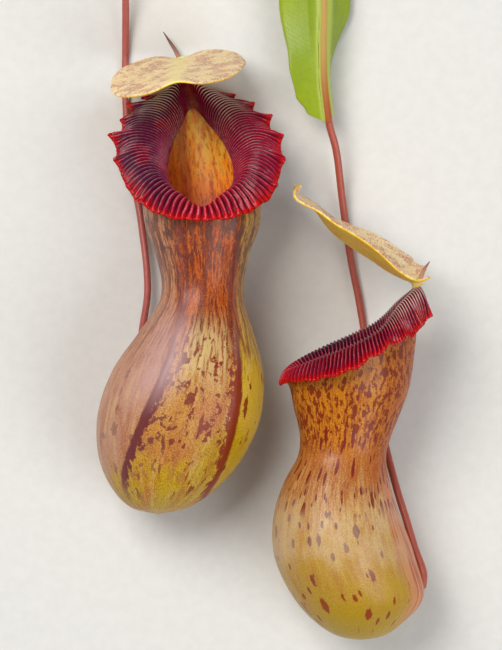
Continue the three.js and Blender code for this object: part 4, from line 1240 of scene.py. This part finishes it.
def leaf_finish(settings):
    """Leathery green with a tan midrib in a pale band, fine cross veins, and a paler back."""
    s = Shader("leathery leaf", Coat_Weight=0.12, Coat_Roughness=0.22, Specular_IOR_Level=0.3,
               Subsurface_Weight=0.12, Subsurface_Scale=0.001)
    off, edge, tip, spread, under = (s.attribute(key) for key in ("off", "edge", "tip", "spread", "under"))
    patch, fine = s.noise(45, 4, 0.55), s.noise(900, 3, 0.6)
    base = s.mix(s.ramp(patch, 0.35, 0.65), (*settings.leaf_colour, 1.0), colour(166, 186, 52))
    base = s.mix(s.times(s.ramp(fine, 0.5, 0.66), 0.25), base, colour(126, 152, 36))

    # Veins that slant across a half, lines that follow its margin, and the pale band round the midrib.
    slant = s.math("MULTIPLY_ADD", off, -0.6, tip)
    veins = s.ramp(s.absolute(s.math("SINE", s.times(slant, 1.9))), 0.16, 0.02)
    lines = s.ramp(s.absolute(s.math("SINE", s.times(edge, 0.9))), 0.12, 0.02)
    base = s.mix(s.times(veins, 0.12), base, colour(190, 205, 90))
    base = s.mix(s.times(lines, s.ramp(off, 3, 6), 0.16), base, colour(186, 204, 84))
    pale = s.times(s.ramp(s.swayed(off, patch, 1.4), 3.2, 1.8), 0.8)
    base = s.mix(pale, base, colour(202, 214, 118))
    midrib = s.mix(s.ramp(tip, 30, 0), colour(206, 168, 104), colour(186, 96, 70))
    base = s.mix(s.times(s.ramp(off, 0.9, 0.5), 0.95), base, midrib)
    base = s.mix(s.times(s.ramp(edge, 0.7, 0.15), 0.55), base, colour(206, 216, 130))

    # The curled tip, a few brown dots, and the back.
    curl = s.times(s.ramp(spread, 0.25, 0.55), s.ramp(tip, 20, 13), 0.75)
    base = s.mix(curl, base, colour(212, 222, 150))
    base = s.mix(s.times(s.ramp(s.cells(70), 0.045, 0.03), 0.7), base, colour(84, 84, 30))
    base = s.mix(s.times(under, 0.6), base, colour(168, 176, 96))
    base = s.deeper(base, 1.1, 0.76)
    relief = s.math("ADD", s.times(veins, -0.5), s.times(fine, 0.4))
    relief = s.math("MULTIPLY_ADD", lines, -0.4, relief)
    return s.done(base, s.math("MULTIPLY_ADD", fine, 0.2, 0.3), s.bump(relief, 0.00015, 0.45))


def stem_finish():
    """Dull green-brown bark with lengthwise cracks, and pale pith in the cut ends."""
    s = Shader("woody vine", Coat_Weight=0.03)
    cut = s.attribute("cut")
    bark, fine = s.noise(2.2, 5, 0.65, round_cord(s, 0.05)[2]), s.noise(1100, 4, 0.65)
    base = s.mix(s.ramp(bark, 0.4, 0.62), colour(140, 132, 66), colour(120, 92, 54))
    base = s.mix(s.times(s.ramp(fine, 0.5, 0.66), 0.5), base, colour(86, 66, 42))
    base = s.mix(s.times(s.ramp(s.noise(160, 3), 0.55, 0.66), 0.45), base, colour(172, 160, 116))
    wood = s.mix(s.ramp(cut, 0.5, 0.9), colour(206, 196, 132), colour(232, 220, 182))
    wood = s.mix(s.times(s.ramp(fine, 0.5, 0.6), 0.3), wood, colour(168, 150, 92))
    base = s.mix(s.ramp(cut, 0.12, 0.2), base, wood)
    relief = s.math("MULTIPLY_ADD", bark, 2.0, fine)
    return s.done(base, s.math("MULTIPLY_ADD", fine, 0.15, 0.62), s.bump(relief, 0.0003, 0.6))


def table_finish(stage):
    """A plain pale matt table top with a faint grain."""
    s = Shader("pale table", Specular_IOR_Level=0.3)
    grain = s.noise(240, 3, 0.6)
    base = s.mix(s.ramp(grain, 0.3, 0.7), (*stage.table_colour, 1.0), colour(220, 218, 213))
    return s.done(base, s.math("MULTIPLY_ADD", grain, 0.1, 0.72), s.bump(grain, 0.00004, 0.25))


# ---------------------------------------------------------------- settings


class ShootSettings(bpy.types.PropertyGroup):
    """Sizes and colours of the shoot"""

    ribs: bpy.props.IntProperty(
        name="Collar ribs", description="Ribs round each collar", default=104, min=20, max=140
    )
    rib_height: bpy.props.FloatProperty(
        name="Rib height", description="Rise of a rib above its collar", default=0.00038, unit="LENGTH",
        precision=5
    )
    rib_wander: bpy.props.FloatProperty(
        name="Rib wander", description="How far ribs stray, as a share of a rib", default=0.9, min=0, max=3
    )
    # The pale shoulders are part wax bloom and part painted highlight.
    bloom_and_highlight: bpy.props.FloatProperty(
        name="Wax bloom", description="Strength of the pale wax on the shoulders", default=0.5,
        subtype="FACTOR", min=0, max=1
    )
    lip_colour: bpy.props.FloatVectorProperty(
        name="Lip colour", description="Margin of the collars", default=colour(206, 44, 34)[:3],
        subtype="COLOR", min=0, max=1
    )
    lid_colour: bpy.props.FloatVectorProperty(
        name="Lid colour", description="Ground colour above the lids", default=colour(255, 218, 160)[:3],
        subtype="COLOR", min=0, max=1
    )
    leaf_colour: bpy.props.FloatVectorProperty(
        name="Leaf colour", description="Ground colour of the leaves", default=colour(148, 172, 40)[:3],
        subtype="COLOR", min=0, max=1
    )


class StageSettings(bpy.types.PropertyGroup):
    """The table, the lights and the camera"""

    table_colour: bpy.props.FloatVectorProperty(
        name="Table colour", description="Colour of the table top", default=colour(216, 214, 209)[:3],
        subtype="COLOR", min=0, max=1
    )
    camera_height: bpy.props.FloatProperty(
        name="Camera height", description="Height of the camera over the table", default=1.6, unit="LENGTH"
    )
    view_height: bpy.props.FloatProperty(
        name="View height", description="Length of table that the view takes in", default=0.234, unit="LENGTH"
    )
    key_power: bpy.props.FloatProperty(
        name="Key light", description="Power of the main soft light", default=13.5, unit="POWER"
    )
    fill_power: bpy.props.FloatProperty(
        name="Fill light", description="Power of the fill light", default=8.5, unit="POWER"
    )


# ---------------------------------------------------------------- operators

PLANTS = (("left", LEFT), ("right", RIGHT))


class SHOOT_OT_cups(bpy.types.Operator):
    """Makes the two hollow pitcher walls"""

    bl_idname = "shoot.cups"
    bl_label = "Pitcher walls"
    bl_options = {"REGISTER", "UNDO"}

    def execute(self, context):
        settings = context.scene.shoot_settings
        finishes = {"left": left_wall(settings), "right": right_wall(settings)}
        for side, plant in PLANTS:
            wall = cup_object(f"{side}_pitcher_wall", plant, *WALL_GRID)
            finished(wall, finishes[side], f"{side}_pitcher_wall", f"{side}_cup")
        return {"FINISHED"}


class SHOOT_OT_collars(bpy.types.Operator):
    """Makes the ribbed, toothed collars round the mouths"""

    bl_idname = "shoot.collars"
    bl_label = "Collars"
    bl_options = {"REGISTER", "UNDO"}

    def execute(self, context):
        settings = context.scene.shoot_settings
        tree, finish = rib_tree(), collar_finish(settings)
        for k, (side, plant) in enumerate(PLANTS):
            base = collar_base(f"{side}_ribbed_collar", plant, settings.ribs * POINTS_PER_RIB)
            values = {"Ribs": float(settings.ribs), "Height": settings.rib_height, "Seed": 3.0 + k,
                      "Wander": settings.rib_wander, "Material": finish}
            finished(apply_nodes(base, tree, values), finish, "collar", f"{side}_collar")
        return {"FINISHED"}


class SHOOT_OT_lids(bpy.types.Operator):
    """Makes the speckled lids on their short necks"""

    bl_idname = "shoot.lids"
    bl_label = "Lids"
    bl_options = {"REGISTER", "UNDO"}

    def execute(self, context):
        tree, finish = cord_tree(), lid_finish(context.scene.shoot_settings)
        for k, (side, plant) in enumerate(PLANTS):
            plate = lid_object(f"{side}_lid_plate", plant)
            points, _ = run_of(plant["lid"]["neck"], NECK_POINTS)
            radii = NECK_RADIUS + NECK_FLARE * np.linspace(1, -1, NECK_POINTS) ** 2
            zero = np.zeros(NECK_POINTS)
            neck = cord_object(f"{side}_lid_neck", tree, finish, laid(plant, points), radii, 24, 0.1, k + 5,
                               across=zero, under=zero)
            finished(joined(f"{side}_speckled_lid", [plate, neck]), finish, "lid", f"{side}_lid")
        return {"FINISHED"}


class SHOOT_OT_spurs(bpy.types.Operator):
    """Makes the thin horn behind each lid"""

    bl_idname = "shoot.spurs"
    bl_label = "Spurs"
    bl_options = {"REGISTER", "UNDO"}

    def execute(self, context):
        tree, finish = cord_tree(), spur_finish()
        for k, (side, plant) in enumerate(PLANTS):
            points, along = run_of(plant["spur"], SPUR_POINTS)
            radii = SPUR_RADIUS * (1 - along / along[-1]) ** 0.8 + SPUR_TIP
            points, radii, along = round_ends(laid(plant, points), radii, along)
            spur = cord_object(f"{side}_horn", tree, finish, points, radii, 16, 0.12, k, along=along)
            finished(spur, finish, "spur", f"{side}_spur")
        return {"FINISHED"}


class SHOOT_OT_tendrils(bpy.types.Operator):
    """Makes the wiry tendrils that run from the leaf tips to the pitchers"""

    bl_idname = "shoot.tendrils"
    bl_label = "Tendrils"
    bl_options = {"REGISTER", "UNDO"}

    def execute(self, context):
        tree = cord_tree()
        rosy = tendril_finish("rosy tendril", colour(176, 88, 78), colour(204, 142, 132), colour(150, 66, 56))
        russet = tendril_finish("russet tendril", colour(172, 80, 62), colour(198, 158, 112),
                                colour(150, 58, 46))
        for k, ((side, plant), finish) in enumerate(zip(PLANTS, (rosy, russet))):
            points, along = run_of(plant["runner"] + plant["tendril"], TENDRIL_POINTS)
            points, along = points[:TENDRIL_END], along[:TENDRIL_END]
            swell = plant["heel"] * np.exp(-(((along[-1] - along) / HEEL_LENGTH) ** 2))
            radii = plant["thick"] * (0.4 + 0.6 * np.clip(along / TENDRIL_TAPER, 0, 1)) + swell
            points, radii, along = round_ends(points, radii, along)
            cord = cord_object(f"{side}_wiry_tendril", tree, finish, points, radii, 28, 0.16, k + 2,
                               along=along)
            finished(cord, finish, f"{side}_tendril", f"{side}_tendril")
        return {"FINISHED"}


class SHOOT_OT_leaves(bpy.types.Operator):
    """Makes the two strap leaves"""

    bl_idname = "shoot.leaves"
    bl_label = "Leaves"
    bl_options = {"REGISTER", "UNDO"}

    def execute(self, context):
        finish = leaf_finish(context.scene.shoot_settings)
        for side, leaf in (("right", RIGHT_LEAF), ("left", LEFT_LEAF)):
            finished(leaf_object(f"{side}_strap_leaf", leaf), finish, "leaf", f"{side}_leaf")
        return {"FINISHED"}


class SHOOT_OT_stem(bpy.types.Operator):
    """Makes the cut length of vine"""

    bl_idname = "shoot.stem"
    bl_label = "Stem"
    bl_options = {"REGISTER", "UNDO"}

    def execute(self, context):
        finish = stem_finish()
        points, along = run_of(STEM_PATH, STEM_POINTS)
        radii = np.full(len(points), STEM_RADIUS)
        # Each node is a swelling with a groove beside it.
        for share in STEM_NODES:
            away = along - share * along[-1]
            radii += 0.85 * np.exp(-(((away + 1) / 3.2) ** 2)) - 0.25 * np.exp(-(((away - 3.4) / 0.6) ** 2))
        cut = np.concatenate([CUT_PITH[::-1], np.zeros(len(points)), CUT_PITH])
        points, radii, along = capped(points, radii, along, [CUT_STEPS, CUT_STEPS], CUT_WIDTHS)
        stem = cord_object("vine_stem", cord_tree(), finish, points, radii, 40, 0.5, 11, along=along, cut=cut)
        finished(stem, finish, "stem", "stem")
        return {"FINISHED"}


class SHOOT_OT_stage(bpy.types.Operator):
    """Makes the table top, the soft lights and the camera that looks down"""

    bl_idname = "shoot.stage"
    bl_label = "Stage"
    bl_options = {"REGISTER", "UNDO"}

    def execute(self, context):
        scene, stage = context.scene, context.scene.stage_settings
        top = bpy.data.meshes.new("table_top")
        corners = [(-TABLE_HALF, -TABLE_HALF, 0), (TABLE_HALF, -TABLE_HALF, 0), (TABLE_HALF, TABLE_HALF, 0),
                   (-TABLE_HALF, TABLE_HALF, 0)]
        top.from_pydata(corners, [], [(0, 1, 2, 3)])
        top.materials.append(table_finish(stage))
        linked("table_top", top)

        aim = Vector((*VIEW_CENTRE, FOCUS_HEIGHT))
        warm, cool = (1.0, 0.985, 0.96), (0.95, 0.975, 1.0)
        for name, place, width, power, tint in (
            ("key_light", (-0.45, 0.4, 1.1), 0.7, stage.key_power, warm),
            ("fill_light", (0.75, -0.6, 0.9), 0.9, stage.fill_power, cool),
        ):
            lamp = bpy.data.lights.new(name, "AREA")
            lamp.shape, lamp.size, lamp.energy, lamp.color = "SQUARE", width, power, tint
            light = linked(name, lamp)
            light.location = place
            light.rotation_euler = (aim - Vector(place)).to_track_quat("-Z", "Y").to_euler()

        world = bpy.data.worlds.new("soft_room")
        world.use_nodes = True
        room = world.node_tree.nodes["Background"].inputs
        room["Color"].default_value, room["Strength"].default_value = (0.9, 0.92, 0.95, 1), 0.3
        scene.world = world

        camera = bpy.data.cameras.new("top_camera")
        camera.sensor_width = SENSOR_WIDTH
        camera.lens = SENSOR_WIDTH * (stage.camera_height - FOCUS_HEIGHT) / stage.view_height
        camera.clip_end = 20
        scene.camera = linked("top_camera", camera)
        scene.camera.location = (*VIEW_CENTRE, stage.camera_height)
        scene.view_settings.view_transform = "Standard"
        return {"FINISHED"}


OPERATORS = (SHOOT_OT_cups, SHOOT_OT_collars, SHOOT_OT_lids, SHOOT_OT_spurs, SHOOT_OT_tendrils,
             SHOOT_OT_leaves, SHOOT_OT_stem, SHOOT_OT_stage)


class SHOOT_PT_panel(bpy.types.Panel):
    """Lists the pieces of the shoot"""

    bl_idname = "SHOOT_PT_panel"
    bl_label = "Pitcher plant shoot"
    bl_space_type = "VIEW_3D"
    bl_region_type = "UI"
    bl_category = "Pitcher Plant"

    def draw(self, context):
        for group in (context.scene.shoot_settings, context.scene.stage_settings):
            for key in group.__annotations__:
                self.layout.prop(group, key)
        for operator in OPERATORS:
            self.layout.operator(operator.bl_idname)


CLASSES = (ShootSettings, StageSettings, *OPERATORS, SHOOT_PT_panel)


def register():
    for item in CLASSES:
        bpy.utils.register_class(item)
    bpy.types.Scene.shoot_settings = bpy.props.PointerProperty(type=ShootSettings)
    bpy.types.Scene.stage_settings = bpy.props.PointerProperty(type=StageSettings)


def unregister():
    del bpy.types.Scene.shoot_settings
    del bpy.types.Scene.stage_settings
    for item in reversed(CLASSES):
        bpy.utils.unregister_class(item)


def main():
    """Builds the stage and every piece."""
    register()
    bpy.ops.shoot.stage()
    bpy.ops.shoot.cups()
    bpy.ops.shoot.collars()
    bpy.ops.shoot.lids()
    bpy.ops.shoot.spurs()
    bpy.ops.shoot.tendrils()
    bpy.ops.shoot.leaves()
    bpy.ops.shoot.stem()
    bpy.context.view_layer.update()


if __name__ == "__main__":
    main()
